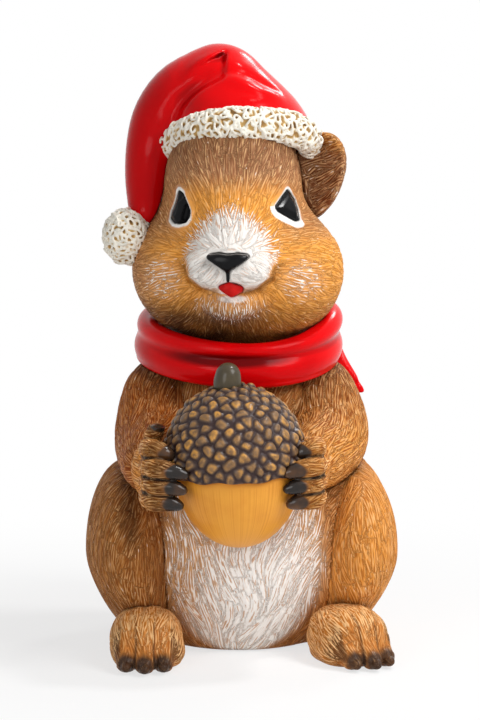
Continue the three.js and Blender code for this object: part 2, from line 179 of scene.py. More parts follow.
def eased(balls, count):
    """More balls on an easy curve through the given ones."""
    balls = np.asarray(balls, float)
    ends = np.vstack([2 * balls[0] - balls[1], balls, 2 * balls[-1] - balls[-2]])
    out = []
    for at in np.linspace(0.0, len(balls) - 1.0, count):
        i = min(int(at), len(balls) - 2)
        t = at - i
        a, b, c, d = ends[i : i + 4]
        bend = (2 * a - 5 * b + 4 * c - d) * t**2 + (3 * b - a - 3 * c + d) * t**3
        out.append(b + 0.5 * ((c - a) * t + bend))
    return out


def along(p, stops):
    """Distance of each point from a line through stops, and its share of the way along the line."""
    stops = np.asarray(stops, float)
    best, share = np.full(len(p), np.inf), np.zeros(len(p))
    for i, (a, b) in enumerate(zip(stops[:-1], stops[1:])):
        axis = b - a
        t = np.clip(((p - a) @ axis) / (axis @ axis), 0.0, 1.0)
        gap = length(p - a - t[:, None] * axis)
        share = np.where(gap < best, (i + t) / (len(stops) - 1), share)
        best = np.minimum(best, gap)
    return best, share


def bell(value, width):
    """1 at zero, falling off to either side over a width."""
    return np.exp(-((value / width) ** 2))


# How far in from its ends a crease is at full depth, and how blunt its ends are
CREASE_START, CREASE_BLUNTNESS = 0.08, 0.7


def crease(p, stops, width, depth):
    """Depth of a soft groove along a line, fading out at both ends."""
    gap, share = along(p, stops)
    run = np.clip(CREASE_START + (1.0 - 2.0 * CREASE_START) * share, 0.0, 1.0)
    return depth * bell(gap, width) * np.sin(np.pi * run) ** CREASE_BLUNTNESS


def rounded_polygon(x, z, outline, rounding):
    """Distance in a plane from a convex outline, its corners given anticlockwise, grown by a rounding."""
    q = np.stack([x, z], 1)
    gap, inside = np.full(len(q), np.inf), np.ones(len(q), bool)
    for a, b in zip(outline, [*outline[1:], outline[0]]):
        a, axis = np.asarray(a, float), np.asarray(b, float) - np.asarray(a, float)
        t = np.clip(((q - a) @ axis) / (axis @ axis), 0.0, 1.0)
        gap = np.minimum(gap, length(q - a - t[:, None] * axis))
        inside &= axis[0] * (q[:, 1] - a[1]) - axis[1] * (q[:, 0] - a[0]) > 0.0
    return np.where(inside, -gap, gap) - rounding


def fade(value, start, end):
    """0 at start and 1 at end, with an easy slope between. Start may be the larger."""
    t = np.clip((value - start) / (end - start), 0.0, 1.0)
    return t * t * (3.0 - 2.0 * t)


def meeting(form, other, reach):
    """A form that rises to its neighbour in a fillet and stops at the glue line."""

    def joined(p):
        own, far = form(p), other(p)
        return np.maximum(smooth_min(own, far, reach), GLUE_LINE - far)

    return joined


def clear_of(form, *others):
    """A form cut back to the glue line of its neighbours."""

    def cut(p):
        own = form(p)
        for other in others:
            own = np.maximum(own, GLUE_LINE - other(p))
        return own

    return cut


# From a form to a mesh

# Fine cells along a coarse one, coarse cells to either side of the surface, and points worked on at a time
BAND, NEAR, BATCH = 6, 1.4, 200000


def cell_middles(low, count, size):
    """Middles of the cells of a grid that starts at a low corner."""
    return low + (np.indices(count).reshape(3, -1).T + 0.5) * size


def quads_over(field, low, voxel, beyond):
    """Quads over the zero of a field of distances kept at cell middles. beyond is the distance outside."""
    grid = openvdb.FloatGrid(beyond)
    grid.copyFromArray(field, tolerance=0.0)
    points, quads = grid.convertToQuads(isovalue=0.0)
    return low + (points.astype(float) + 0.5) * voxel, quads.astype(np.int64)


def skin(form, low, high, voxel):
    """Quads over a form inside a box. A coarse grid finds the surface, and a fine one samples it."""
    step = BAND * voxel
    count = np.ceil((high - low) / step).astype(int)
    rough = form(cell_middles(low, count, step)).reshape(count)
    fine, near = rough.astype(np.float32), np.abs(rough) < NEAR * step
    for axis in range(3):
        fine, near = np.repeat(fine, BAND, axis), np.repeat(near, BAND, axis)
    wanted = np.argwhere(near)
    parts = np.array_split(wanted, len(wanted) // BATCH + 1)
    values = [form(low + (part + 0.5) * voxel) for part in parts]
    fine[tuple(wanted.T)] = np.concatenate(values)
    return quads_over(fine, low, voxel, float(step))


CORNERS_OF_A_TETRAHEDRON = np.array([[1, -1, -1], [-1, -1, 1], [-1, 1, -1], [1, 1, 1]], float)


def outward(form, p, reach=0.06):
    """Unit direction in which a form's distance grows."""
    return unit(sum(np.outer(form(p + reach * k), k) for k in CORNERS_OF_A_TETRAHEDRON))


def settle(form, p, voxel):
    """Points moved onto a form's surface, and its outward directions there."""
    for _ in range(2):
        normal = outward(form, p)
        p = p - np.clip(form(p), -voxel, voxel)[:, None] * normal
    return p, normal


CHART_MARGIN = 0.02


def charts(points, normals, quads):
    """Map coordinates for each corner: six flat views of the smooth form, side by side."""
    facing = normals[quads].mean(1)
    axis = np.abs(facing).argmax(1)
    chart = 2 * axis + (np.take_along_axis(facing, axis[:, None], 1)[:, 0] > 0)
    out = np.zeros((len(quads), 4, 2))
    for k in range(6):
        mine = chart == k
        if mine.any():
            flat = points[quads[mine]][:, :, [(1, 2), (0, 2), (0, 1)][k // 2]]
            low, high = flat.min((0, 1)), flat.max((0, 1))
            share = CHART_MARGIN + (1.0 - 2.0 * CHART_MARGIN) * (flat - low) / np.maximum(high - low, TINY)
            out[mine] = (share + [k % 3, k // 3]) / [3, 2]
    return out.reshape(-1, 2)


# Mesh size of each piece in millimetres, by the last word of its name
FINENESS = {
    "torso": 0.48, "haunch": 0.42, "foot": 0.34, "arm": 0.42, "paw": 0.32, "tail": 0.5, "head": 0.36,
    "ear": 0.36, "eye": 0.22, "nose": 0.24, "tongue": 0.24, "crown": 0.5, "collar": 0.45, "end": 0.4,
    "brim": 0.27, "pompom": 0.27, "nut": 0.46, "stem": 0.32, "cap": 0.35,
}
# Room left round a node for a form that stands out of it
SPARE = 3.0
Carving = namedtuple("Carving", "form points quads normals voxel")


def fineness(node):
    """Mesh size of a node's piece."""
    return FINENESS[node.split("_")[-1]]


def carved(node, form):
    """The settled mesh of a form around its node."""
    low, high = corners(node)
    voxel = fineness(node)
    points, quads = skin(form, low - SPARE, high + SPARE, voxel)
    points, normals = settle(form, points, voxel)
    return Carving(form, points, quads, normals, voxel)


def make_piece(node, slot, shape, relief, values, material):
    """One finished piece: the points moved out by their relief, with painted values, riding on the body."""
    name = f"{node}_painted"
    mesh = bpy.data.meshes.new(name)
    places = (shape.points + np.reshape(relief, (-1, 1)) * shape.normals) * MM
    quads = shape.quads
    mesh.vertices.add(len(places))
    mesh.vertices.foreach_set("co", places.astype(np.float32).ravel())
    mesh.loops.add(quads.size)
    mesh.loops.foreach_set("vertex_index", quads.astype(np.int32).ravel())
    mesh.polygons.add(len(quads))
    mesh.polygons.foreach_set("loop_start", np.arange(0, quads.size, 4, dtype=np.int32))
    mesh.update(calc_edges=True)
    mesh.shade_smooth()
    for key, value in values.items():
        mesh.attributes.new(key, "FLOAT", "POINT").data.foreach_set("value", value.astype(np.float32))
    layer = mesh.uv_layers.new(name="OFBake", do_init=False)
    layer.uv.foreach_set("vector", charts(shape.points, shape.normals, quads).astype(np.float32).ravel())
    mesh.materials.append(material)
    if mesh.validate():
        raise RuntimeError(f"{name} has faces that don't hold together")
    piece = bpy.data.objects.new(name, mesh)
    bpy.context.scene.collection.objects.link(piece)
    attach(piece, BODY)
    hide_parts(node)
    return piece


def hollowness(shape, reach):
    """0 on a flat or round surface, rising to 1 deep in a fold."""
    return np.clip(1.0 - shape.form(shape.points + reach * shape.normals) / reach, 0.0, 1.0)


# Locks of hair

# Points along a lock, how often locks cover the surface, and how many points of locks each place looks at
LOCK_STEPS, LOCK_COVER, LOCK_NEAREST = 6, 2.4, 10
# How far locks lean out of the flow, and the stretch of a sine's hump that shapes a lock, and its bluntness
LOCK_LEAN, LOCK_START, LOCK_RUN, LOCK_BLUNTNESS = 0.16, 0.2, 0.72, 0.6
# Mesh points on each square of surface as large as a voxel
POINTS_PER_SQUARE = 1.5


def fur(shape, flow, width, reach, seed, only=None):
    """Lays overlapping locks of hair over a surface, or over only some of its points. flow gives the way the
    hair lies. Gives each point's place in the lock on top there: its ridge (1 on the lock's middle, 0 at its
    edge), its tone (the lock's own number, 0 to 1) and its distances across and along the lock."""
    rng = np.random.default_rng(seed)
    form = shape.form
    chosen = np.arange(len(shape.points)) if only is None else np.flatnonzero(only)
    points, normals = shape.points[chosen], shape.normals[chosen]
    pace = reach / (LOCK_STEPS - 1)
    area = len(points) * shape.voxel**2 / POINTS_PER_SQUARE
    count = int(LOCK_COVER * area / (width * reach))
    p = points[rng.integers(0, len(points), count)]
    lean = rng.normal(0.0, LOCK_LEAN, count)
    tone, rank = rng.random(count), rng.random(count)
    trail, ways = [], []
    for _ in range(LOCK_STEPS):
        normal = outward(form, p)
        way = flow(p)
        way = unit(way - np.einsum("ij,ij->i", way, normal)[:, None] * normal)
        way = unit(way + lean[:, None] * np.cross(normal, way))
        trail.append(p)
        ways.append(way)
        p = p + pace * way
        p = p - np.clip(form(p), -1.0, 1.0)[:, None] * normal
    spots, ways = np.stack(trail, 1).reshape(-1, 3), np.stack(ways, 1).reshape(-1, 3)
    tree = KDTree(len(spots))
    for i, spot in enumerate(spots):
        tree.insert(spot, i)
    tree.balance()
    found = np.array([[hit[1] for hit in tree.find_n(q, LOCK_NEAREST)] for q in points])
    offset = points[:, None] - spots[found]
    across = np.einsum("ijk,ijk->ij", offset, np.cross(ways[found], normals[:, None]))
    ahead = np.einsum("ijk,ijk->ij", offset, ways[found])
    lock, step = found // LOCK_STEPS, found % LOCK_STEPS
    taper = np.sin(np.pi * (LOCK_START + LOCK_RUN * step / (LOCK_STEPS - 1))) ** LOCK_BLUNTNESS
    share = across / (0.5 * width * taper)
    inside = (np.abs(share) < 1.0) & (np.abs(ahead) < pace)
    best = np.where(inside, rank[lock], -1.0).argmax(1)[:, None]

    def top(values):
        return np.take_along_axis(values, best, 1)[:, 0]

    return {
        "ridge": np.where(top(inside), 1.0 - top(share) ** 2, 0.0),
        "tone": tone[top(lock)],
        "across": top(across),
        "along": top(step * pace + ahead),
    }


# Shader parts


def node_of(tree, kind, values=(), **settings):
    """A node with settings, and values or links for its inputs by name or number."""
    node = tree.nodes.new("ShaderNode" + kind)
    for key, value in settings.items():
        setattr(node, key, value)
    for key, value in dict(values).items():
        if isinstance(value, bpy.types.NodeSocket):
            tree.links.new(value, node.inputs[key])
        else:
            node.inputs[key].default_value = value
    return node


def mix(tree, share, a, b, mode="MIX"):
    """A colour between a and b."""
    node = node_of(tree, "Mix", {0: share, 6: a, 7: b}, data_type="RGBA", blend_type=mode)
    return node.outputs[2]


def maths(tree, operation, a, b):
    """One operation on two values."""
    return node_of(tree, "Math", {0: a, 1: b}, operation=operation).outputs[0]


def between(tree, value, low, high, to_low=0.0, to_high=1.0):
    """A value brought from low and high to a new span, with an easy slope."""
    inputs = {"Value": value, "From Min": low, "From Max": high, "To Min": to_low, "To Max": to_high}
    return node_of(tree, "MapRange", inputs, interpolation_type="SMOOTHSTEP").outputs[0]


def painted_value(tree, name):
    """A value kept on the piece's points."""
    return node_of(tree, "Attribute", attribute_name=name).outputs["Fac"]


def noise(tree, scale, detail=3.0, roughness=0.5):
    """Noise over the piece, with scale in features per metre."""
    where = node_of(tree, "TexCoord").outputs["Object"]
    inputs = {"Vector": where, "Scale": scale, "Detail": detail, "Roughness": roughness}
    return node_of(tree, "TexNoise", inputs).outputs[0]


def new_group(name, inputs, outputs):
    """An empty node group. inputs and outputs give each socket's kind, and an input's default."""
    group = bpy.data.node_groups.new(name, "ShaderNodeTree")
    for key, (kind, value) in inputs.items():
        socket = group.interface.new_socket(name=key, in_out="INPUT", socket_type="NodeSocket" + kind)
        socket.default_value = value
    for key, kind in outputs.items():
        group.interface.new_socket(name=key, in_out="OUTPUT", socket_type="NodeSocket" + kind)
    source = group.nodes.new("NodeGroupInput")
    drain = group.nodes.new("NodeGroupOutput")
    return group, source.outputs, drain.inputs


GREY, WHITE = (0.5, 0.5, 0.5, 1.0), (1.0, 1.0, 1.0, 1.0)
# Hairs on a lock: how many across and how many ends along a millimetre, their strength, and how locks differ
HAIRS_PER_MM, HAIR_ENDS_PER_MM, HAIR_SHARE, LOCKS_APART = 2.1, 0.27, 0.85, 97.0
# Comb marks along a lock: their pitch in millimetres, how strong they are and how far they wander
COMB_PITCH, COMB_SHARE, COMB_WANDER = 0.82, 0.1, 4.0
# Clouds in the dark paint to a metre
SHADE_CLOUDS = 90.0


def brushed_fur_group():
    """Colour, roughness, clear coat and height of hair, from the values that fur() and the zones keep.
    Depth is how dark the gaps between hairs are."""
    colours = ("Coat", "Groove", "Tip", "Paint", "Shade", "Glow")
    inputs = {**{name: ("Color", GREY) for name in colours}, "Depth": ("Float", 0.8)}
    outputs = {"Color": "Color", "Roughness": "Float", "Height": "Float", "Coat": "Float"}
    group, given, result = new_group("Brushed fur", inputs, outputs)

    def times(a, b):
        return maths(group, "MULTIPLY", a, b)

    def plus(a, b):
        return maths(group, "ADD", a, b)

    def larger(a, b):
        return maths(group, "MAXIMUM", a, b)

    def rest_of(a):
        return maths(group, "SUBTRACT", 1.0, a)

    keys = ("ridge", "tone", "across", "along", "dark", "glow", "white", "pale", "calm")
    kept = (painted_value(group, key) for key in keys)
    ridge, tone, across, along_lock, dark, glow, white, pale, calm = kept
    apart = times(tone, LOCKS_APART)
    place = {"X": plus(times(across, HAIRS_PER_MM), apart), "Y": times(along_lock, HAIR_ENDS_PER_MM)}
    where = node_of(group, "CombineXYZ", place).outputs[0]
    streaks = {"Vector": where, "Scale": 1.0, "Detail": 1.0}
    lines = node_of(group, "TexNoise", streaks, noise_dimensions="2D").outputs[0]
    phase = plus(plus(times(across, 2 * math.pi / COMB_PITCH), apart), times(lines, COMB_WANDER))
    comb = times(maths(group, "SINE", phase, 0.0), COMB_SHARE)
    lines = plus(comb, times(maths(group, "SUBTRACT", lines, 0.5), HAIR_SHARE))
    rough = rest_of(calm)
    hair = plus(times(lines, rough), 0.5)
    coat = mix(group, glow, given["Coat"], given["Glow"])
    # The dark mask brings painted shade on most pieces, and the own dark of claws and nails on the paws and
    # feet
    shade = times(dark, between(group, noise(group, SHADE_CLOUDS), 0.2, 0.6, 0.75, 1.0))
    coat = mix(group, shade, coat, given["Shade"])
    edge = times(between(group, ridge, 0.0, 0.25, 0.15, 0.0), rough)
    gap = larger(between(group, hair, 0.38, 0.53, given["Depth"], 0.0), edge)
    coat = mix(group, gap, coat, mix(group, 1.0, coat, given["Groove"], "MULTIPLY"))
    brush = times(between(group, hair, 0.52, 0.64), between(group, tone, 0.0, 1.0, 0.3, 0.75))
    clean = rest_of(larger(times(shade, 0.75), times(glow, 0.5)))
    coat = mix(group, times(brush, clean), coat, given["Tip"])
    single = between(group, plus(hair, times(pale, 0.5)), 0.79, 0.89, 0.0, 0.95)
    solid = times(white, between(group, hair, 0.32, 0.5, 0.68, 1.0))
    coat = mix(group, larger(single, solid), coat, given["Paint"])
    group.links.new(coat, result["Color"])
    group.links.new(between(group, calm, 0.0, 1.0, 0.55, 0.26), result["Roughness"])
    group.links.new(between(group, calm, 0.5, 1.0, 0.0, 0.5), result["Coat"])
    group.links.new(plus(hair, times(ridge, 0.2)), result["Height"])
    return group


def fine_grain_group():
    """Specks and unevenness that a brush and a casting leave, for any finish."""
    inputs = {"Grain": ("Float", 900.0), "Cloud": ("Float", 60.0)}
    group, given, result = new_group("Fine grain", inputs, {"Mottle": "Float", "Height": "Float"})
    group.links.new(noise(group, given["Cloud"], 4.0), result["Mottle"])
    group.links.new(noise(group, given["Grain"], 2.0), result["Height"])
    return group


def group_node(tree, name, maker, values=()):
    """Outputs of a shared group, made at its first use, placed in a material with its own values."""
    node = tree.nodes.new("ShaderNodeGroup")
    node.node_tree = bpy.data.node_groups.get(name) or maker()
    for key, value in dict(values).items():
        node.inputs[key].default_value = value
    return node.outputs


def new_material(name, settings=()):
    """A material with one Principled shader, and plain values on that shader's own sockets."""
    material = bpy.data.materials.new(name)
    material.use_nodes = True
    tree = material.node_tree
    tree.nodes.clear()
    shader = node_of(tree, "BsdfPrincipled", settings)
    drain = node_of(tree, "OutputMaterial")
    tree.links.new(shader.outputs[0], drain.inputs["Surface"])
    return material, tree, shader


def grained_material(name, settings, grain, cloud):
    """A material with fine grain, whose scales are specks and clouds to a metre."""
    material, tree, shader = new_material(name, settings)
    scales = {"Grain": grain, "Cloud": cloud}
    return material, tree, shader, group_node(tree, "Fine grain", fine_grain_group, scales)


def bumped(tree, shader, height, distance, strength):
    """Gives a shader a bump of a height, with its distance in millimetres."""
    inputs = {"Height": height, "Distance": distance * MM, "Strength": strength}
    tree.links.new(node_of(tree, "Bump", inputs).outputs[0], shader.inputs["Normal"])


def dressed(tree, shader, colour, roughness, bump):
    """Gives a shader its colour, a roughness from smooth to rough as a value grows, and a bump. roughness is
    the value with both ends, and bump is the height with its distance and strength."""
    value, smooth, rough = roughness
    tree.links.new(colour, shader.inputs["Base Color"])
    tree.links.new(between(tree, value, 0.3, 0.7, smooth, rough), shader.inputs["Roughness"])
    bumped(tree, shader, *bump)


def fur_material(name, colours):
    """Painted fur. colours gives Coat, Groove, Tip, Paint, Shade, Glow and Depth."""
    material, tree, shader = new_material(name, {"Specular IOR Level": 0.08, "Coat Roughness": 0.15})
    hair = group_node(tree, "Brushed fur", brushed_fur_group, colours)
    for key, socket in {"Color": "Base Color", "Roughness": "Roughness", "Coat": "Coat Weight"}.items():
        tree.links.new(hair[key], shader.inputs[socket])
    bumped(tree, shader, hair["Height"], 0.3, 0.8)
    return material


# Sizes and colours that a user may change


def paint(*levels):
    """A colour written as it looks on a screen, 0 to 255, as the linear colour that shaders use."""
    shares = [level / 255 for level in levels]
    linear = [share / 12.92 if share <= 0.04045 else ((share + 0.055) / 1.055) ** 2.4 for share in shares]
    return (*linear, 1.0)


def colour_prop(name, description, default):
    """A colour that a user may change."""
    return FloatVectorProperty(
        name=name, description=description, default=default, subtype="COLOR", size=4, min=0.0, max=1.0
    )


def length_prop(name, description, default):
    """A length that a user may change, in metres."""
    return FloatProperty(
        name=name, description=description, default=default, min=0.0, unit="LENGTH", precision=5
    )


def angle_prop(name, description, degrees):
    """An angle that a user may change."""
    return FloatProperty(name=name, description=description, default=math.radians(degrees), subtype="ANGLE")


def power_prop(name, description, default):
    """A lamp's power that a user may change, in watts."""
    return FloatProperty(name=name, description=description, default=default, min=0.0, unit="POWER")


def share_prop(name, description, default):
    """A share from 0 to 1 that a user may change."""
    return FloatProperty(
        name=name, description=description, default=default, min=0.0, max=1.0, subtype="FACTOR"
    )


class FurLook(bpy.types.PropertyGroup):
    """Hair strokes and their paints"""

    lock_width: length_prop("Lock width", "Width of one lock of hair", 3.6 * MM)
    lock_length: length_prop("Lock length", "Length of one lock of hair", 8.0 * MM)
    relief: length_prop("Relief", "Height of a lock above its edge", 0.32 * MM)
    coat: colour_prop("Coat", "Main colour of the fur", paint(206, 132, 62))
    # Painted shade: a redder copy of the coat for the right arm, which is on the shaded side
    shade_side_coat: colour_prop("Russet", "Redder coat of the right arm", paint(228, 130, 48))
    groove: colour_prop("Groove", "Tint of the wash that stays between hairs", paint(168, 130, 100))
    tip: colour_prop("Tip", "Light paint on the hairs", paint(238, 192, 136))
    white: colour_prop("White", "Paint of the muzzle and eye rims", paint(244, 241, 236))
    chalk: colour_prop("Chalk", "Clean white brushed on the belly", paint(254, 253, 250))
    # Shade is mostly painted shade: dark paint in folds, beside and under neighbouring pieces, and on the
    # shaded side
    shade: colour_prop("Shade", "Dark paint sprayed into folds", paint(84, 50, 24))
    glow: colour_prop("Glow", "Warm paint on the cheeks and knees", paint(244, 166, 72))
    claw: colour_prop("Claw", "Dark paint of claws and finger tips", paint(34, 28, 25))
    nail: colour_prop("Nail", "Dull paint of the toe nails", paint(70, 50, 38))
    brow: colour_prop("Brow", "Grey-brown of the brow, ear and jaw", paint(178, 124, 86))
    belly: colour_prop("Belly", "Tan under the belly's white", paint(226, 176, 122))


class LacquerLook(bpy.types.PropertyGroup):
    """Red lacquer of the hat and scarf"""

    red: colour_prop("Red", "Lacquer where it is thick", paint(232, 6, 12))
    # Deep red is painted shade, in the folds and on the hat's shaded side
    deep: colour_prop("Deep red", "Lacquer pooled in folds", paint(112, 2, 4))
    shine: colour_prop("Shine", "Tint of the lacquer's shine", (1.0, 0.2, 0.24, 1.0))
    roughness: share_prop("Roughness", "Blur of the lacquer's shine", 0.16)


class FleeceLook(bpy.types.PropertyGroup):
    """Curly trim of the hat"""

    cream: colour_prop("Cream", "Paint on the curls", paint(240, 235, 222))
    ochre: colour_prop("Ochre", "Wash between the curls", paint(204, 168, 104))
    hole: colour_prop("Hole", "Wash in the deepest holes", paint(156, 118, 68))
    curl_length: length_prop("Curl length", "Length of one curl", 5.2 * MM)
    strand_radius: length_prop("Strand radius", "Half the thickness of a curl", 0.42 * MM)


class AcornLook(bpy.types.PropertyGroup):
    """Nut, cap and stem"""

    nut: colour_prop("Nut", "Honey colour of the nut", paint(238, 166, 62))
    nut_dark: colour_prop("Nut grain", "Darker grain of the nut", paint(206, 122, 34))
    network: colour_prop("Network", "Cap between its scales", paint(52, 35, 34))
    slope: colour_prop("Slope", "Sides of the scales", paint(116, 92, 70))
    scale: colour_prop("Scale", "Paint on top of a scale", paint(208, 150, 72))
    stem: colour_prop("Stem", "Olive grey of the stem", paint(66, 57, 39))
    scale_count: IntProperty(name="Scales", description="Scales over the whole cap", default=300, min=20)
    scale_height: length_prop("Scale height", "How far a scale stands up", 1.1 * MM)


class FaceLook(bpy.types.PropertyGroup):
    """Eyes, nose and tongue"""

    black: colour_prop("Black", "Gloss black of the eyes and nose", paint(10, 10, 12))
    tongue: colour_prop("Tongue", "Red of the mouth", paint(182, 24, 22))


class StageLook(bpy.types.PropertyGroup):
    """Camera, lamps and floor"""

    azimuth: angle_prop("Azimuth", "Turn of the camera round the figure", -4.0)
    elevation: angle_prop("Elevation", "Rise of the camera above the level", 7.0)
    distance: length_prop("Distance", "From the camera to its target", 1.0)
    lens: FloatProperty(name="Lens", description="Focal length in millimetres", default=156.5, min=1.0)
    floor: colour_prop("Floor", "Pale floor", paint(246, 246, 246))
    key_power: power_prop("Key", "Main lamp", 3.8)
    glint_power: power_prop("Glint", "Small high lamp for highlights", 2.3)
    fill_power: power_prop("Fill", "Lamp on the shaded side", 1.6)
    edge_power: power_prop("Edge", "Lamp behind", 1.2)
    ambient: share_prop("Ambient", "Light from all round", 0.22)


# Forms of the body


# The torso's rounds as shares of its half-width: how far back and how high each lies, and its radii
BELLY, CHEST, SHOULDERS = (0.0, 0.915), (0.075, 1.6), (0.1, 2.0)
BELLY_RADII, CHEST_RADII, SHOULDER_RADII = (1.015, 1.015, 1.19), (0.81, 0.76, 0.79), (0.79, 0.69, 0.38)
NECK_RADIUS = 0.33


def torso_form():
    """Belly, chest, shoulders and neck, standing flat on the ground."""
    wide, top = half("torso")[0], corners("torso")[1][2]
    x, y, _ = middle("torso")

    def round_at(p, place, radii):
        back, rise = place
        return ellipsoid(p, (x, y + back * wide, rise * wide), wide * np.array(radii))

    def form(p):
        belly, chest = round_at(p, BELLY, BELLY_RADII), round_at(p, CHEST, CHEST_RADII)
        shoulders, thick = round_at(p, SHOULDERS, SHOULDER_RADII), NECK_RADIUS * wide
        neck = rod(p, (x, y, SHOULDERS[1] * wide), (x, y, top - thick), thick, thick)
        body = smooth_min(smooth_min(belly, chest, 8.0), smooth_min(shoulders, neck, 3.0), 6.0)
        return smooth_max(body, -p[:, 2], 2.5)

    return form


# Shares of the haunch's depth and height: its width, and the knee's place and radii
HAUNCH_WIDTH, KNEE_AT, KNEE_RADII = 0.385, (0.0, -0.42, 0.12), (0.86, 0.56, 0.72)
# How far the haunch is drawn in to each millimetre of drop, and over how much drop that starts
HAUNCH_TAPER, TAPER_START = 0.31, 8.0
# How much larger than its solid the haunch is, and its height above the ground
HAUNCH_GROWTH, HAUNCH_FOOT = 1.012, 1.0


def haunch_form(side):
    """A thigh and knee, drawn in towards the ground."""
    node = f"{side}_haunch"
    depth, tall = half(node)[1:] * HAUNCH_GROWTH
    wide = HAUNCH_WIDTH * depth
    _, y, z = middle(node)
    centre = np.array([outer(node, side) - SIDES[side] * wide, y, z])
    size = np.array([wide, depth, tall])

    def form(p):
        q = p.copy()
        drop = np.maximum(z - p[:, 2], 0.0)
        q[:, 0] += SIDES[side] * HAUNCH_TAPER * drop**2 / (drop + TAPER_START)
        thigh = ellipsoid(q, centre, size)
        knee = ellipsoid(q, centre + np.array(KNEE_AT) * size, np.array(KNEE_RADII) * size)
        return smooth_max(smooth_min(thigh, knee, 5.0), HAUNCH_FOOT - p[:, 2], 1.5)

    return form


FOOT_TURN = {"left": 22.0, "right": -4.0}
# Radii of the instep, with the height as a share of the foot's, and its squareness
INSTEP_WIDE, INSTEP_LONG, INSTEP_TALL, INSTEP_POWER = 11.3, 14.5, 0.6, 2.35
HEEL_AT, HEEL_RADII = (-6.6, -5.5, -2.2), (5.4, 8.0, 4.8)
TOE_PITCH, TOE_ROOT, TOE_KNUCKLE, TOE_TIP, TOE_SWING = 5.4, 4.6, 3.9, 3.1, 4.0
TOE_CLAW_AT, TOE_CLAW_RADII = (0.0, -2.4, -0.7), (1.7, 2.4, 1.7)


def foot_place(side):
    """Where a foot stands on the ground. Its toes swing its box to the side that they turn to."""
    node = f"{side}_foot"
    swing = TOE_SWING * math.sin(math.radians(FOOT_TURN[side]))
    return np.array([middle(node)[0] - swing, corners(node)[1][1] - INSTEP_LONG, 0.0])


def toe_balls(side):
    """Root, knuckle and tip of each toe in the foot's frame."""
    tall = corners(f"{side}_foot")[1][2]
    reach = half(f"{side}_foot")[1]
    for i in (-1, 0, 1):
        x = i * TOE_PITCH
        y = 4.2 - reach * (0.9 - 0.14 * abs(i))
        yield [(0.8 * x, y + 9.5, 0.5 * tall, TOE_ROOT), (x, y, 0.38 * tall, TOE_KNUCKLE),
               (1.06 * x, y - 5.5, TOE_TIP, TOE_TIP)]


def to_foot(p, side):
    """Points in the foot's frame, with its toes to -Y."""
    return turn(p - foot_place(side), -FOOT_TURN[side], 2)


def foot_form(side):
    """An instep, a heel and three toes with claws, flat underneath."""
    tall = corners(f"{side}_foot")[1][2]
    instep = np.array([0.0, 0.5, 0.4 * tall])
    toes = list(toe_balls(side))

    def form(p):
        q = to_foot(p, side)
        foot = superellipsoid(q, instep, (INSTEP_WIDE, INSTEP_LONG, INSTEP_TALL * tall), INSTEP_POWER)
        heel = ellipsoid(q, instep + np.array(HEEL_AT) * [SIDES[side], 1.0, 1.0], HEEL_RADII)
        foot = smooth_min(foot, heel, 2.0)
        for balls in toes:
            claw = ellipsoid(q, np.array(balls[-1][:3]) + TOE_CLAW_AT, TOE_CLAW_RADII)
            foot = smooth_min(foot, smooth_min(limb(q, balls, 2.0), claw, 0.4), 0.9)
        return smooth_max(foot, -q[:, 2], 1.2)

    return form


ELBOW_RADIUS, SHOULDER_RADIUS, WRIST_RADIUS = 13.4, 13.0, 9.0
# Places of the shoulder, elbow and wrist, from faces and middles of the arm's and paw's boxes
SHOULDER_IN, ELBOW_IN, ELBOW_BACK, WRIST_OUT, WRIST_BACK = (16.2, 11.0, 7.6), 0.8, 6.0, 3.0, 2.5
# Balls along an arm or a finger
LIMB_BALLS = 9


def arm_balls(side):
    """Shoulder, elbow and wrist of an arm, with more balls on an easy curve through them."""
    sign, node, paw = SIDES[side], f"{side}_arm", f"{side}_paw"
    low, high = corners(node)
    edge = outer(node, side)
    inward, forward, down = SHOULDER_IN
    shoulder = (edge - sign * inward, high[1] - forward, high[2] - down, SHOULDER_RADIUS)
    bent = edge - sign * (ELBOW_RADIUS + ELBOW_IN)
    elbow = (bent, middle(node)[1] + ELBOW_BACK, low[2] + ELBOW_RADIUS, ELBOW_RADIUS)
    wrist_x, wrist_y = middle(paw)[0] + sign * WRIST_OUT, corners(paw)[1][1] + WRIST_BACK
    wrist = (wrist_x, wrist_y, middle(paw)[2], WRIST_RADIUS)
    return eased([shoulder, elbow, wrist], LIMB_BALLS)


def arm_form(side):
    """An arm from the shoulder to the wrist."""
    balls = arm_balls(side)
    return lambda p: limb(p, balls, 2.5)


FINGER_PITCH, FINGER_ROOT, FINGER_END, CLAW_TIP = 4.9, 3.1, 2.4, 1.4
# How far each finger reaches round the acorn, from the top one down, and where its claw starts
FINGER_REACH, CLAW_SHARE = (0.62, 1.0, 0.95, 0.85), 0.62
# Thumb of the right paw: balls as seen from the paw's middle
THUMB = ((-3.6, 4.0, 9.5, 2.6), (-2.2, 0.0, 13.5, 2.1), (-0.6, -3.0, 16.0, 0.8))
PALM_RADII = (6.6, 9.5, 9.6)


def finger_balls(side):
    """Root, knuckle, end and claw tip of each finger, from the top one down, and of the thumb."""
    sign, node = SIDES[side], f"{side}_paw"
    low, high = corners(node)
    palm_x = middle(node)[0] + sign * 3.4
    tip = np.array([inner(node, side) + sign * (CLAW_TIP + 1.5), low[1] + 0.5 * FINGER_END - 1.0])
    for i, share in enumerate(FINGER_REACH):
        z = middle(node)[2] + (1.5 - i) * FINGER_PITCH
        root = np.array([palm_x + sign * 1.2, high[1] - 12.0])
        claw = root + share * (tip - root)
        bend = np.array([palm_x, 0.35 * root[1] + 0.65 * claw[1] - 1.0])
        end = 0.45 * bend + 0.55 * claw + [0.0, -0.9]
        balls = [(*root, z, FINGER_ROOT), (*bend, z + 0.3, FINGER_ROOT)]
        balls += [(*end, z, FINGER_END), (*claw, z - 0.9, CLAW_TIP)]
        yield eased(balls, LIMB_BALLS)
    if side == "right":
        yield eased([(*(middle(node) + ball[:3]), ball[3]) for ball in THUMB], LIMB_BALLS)


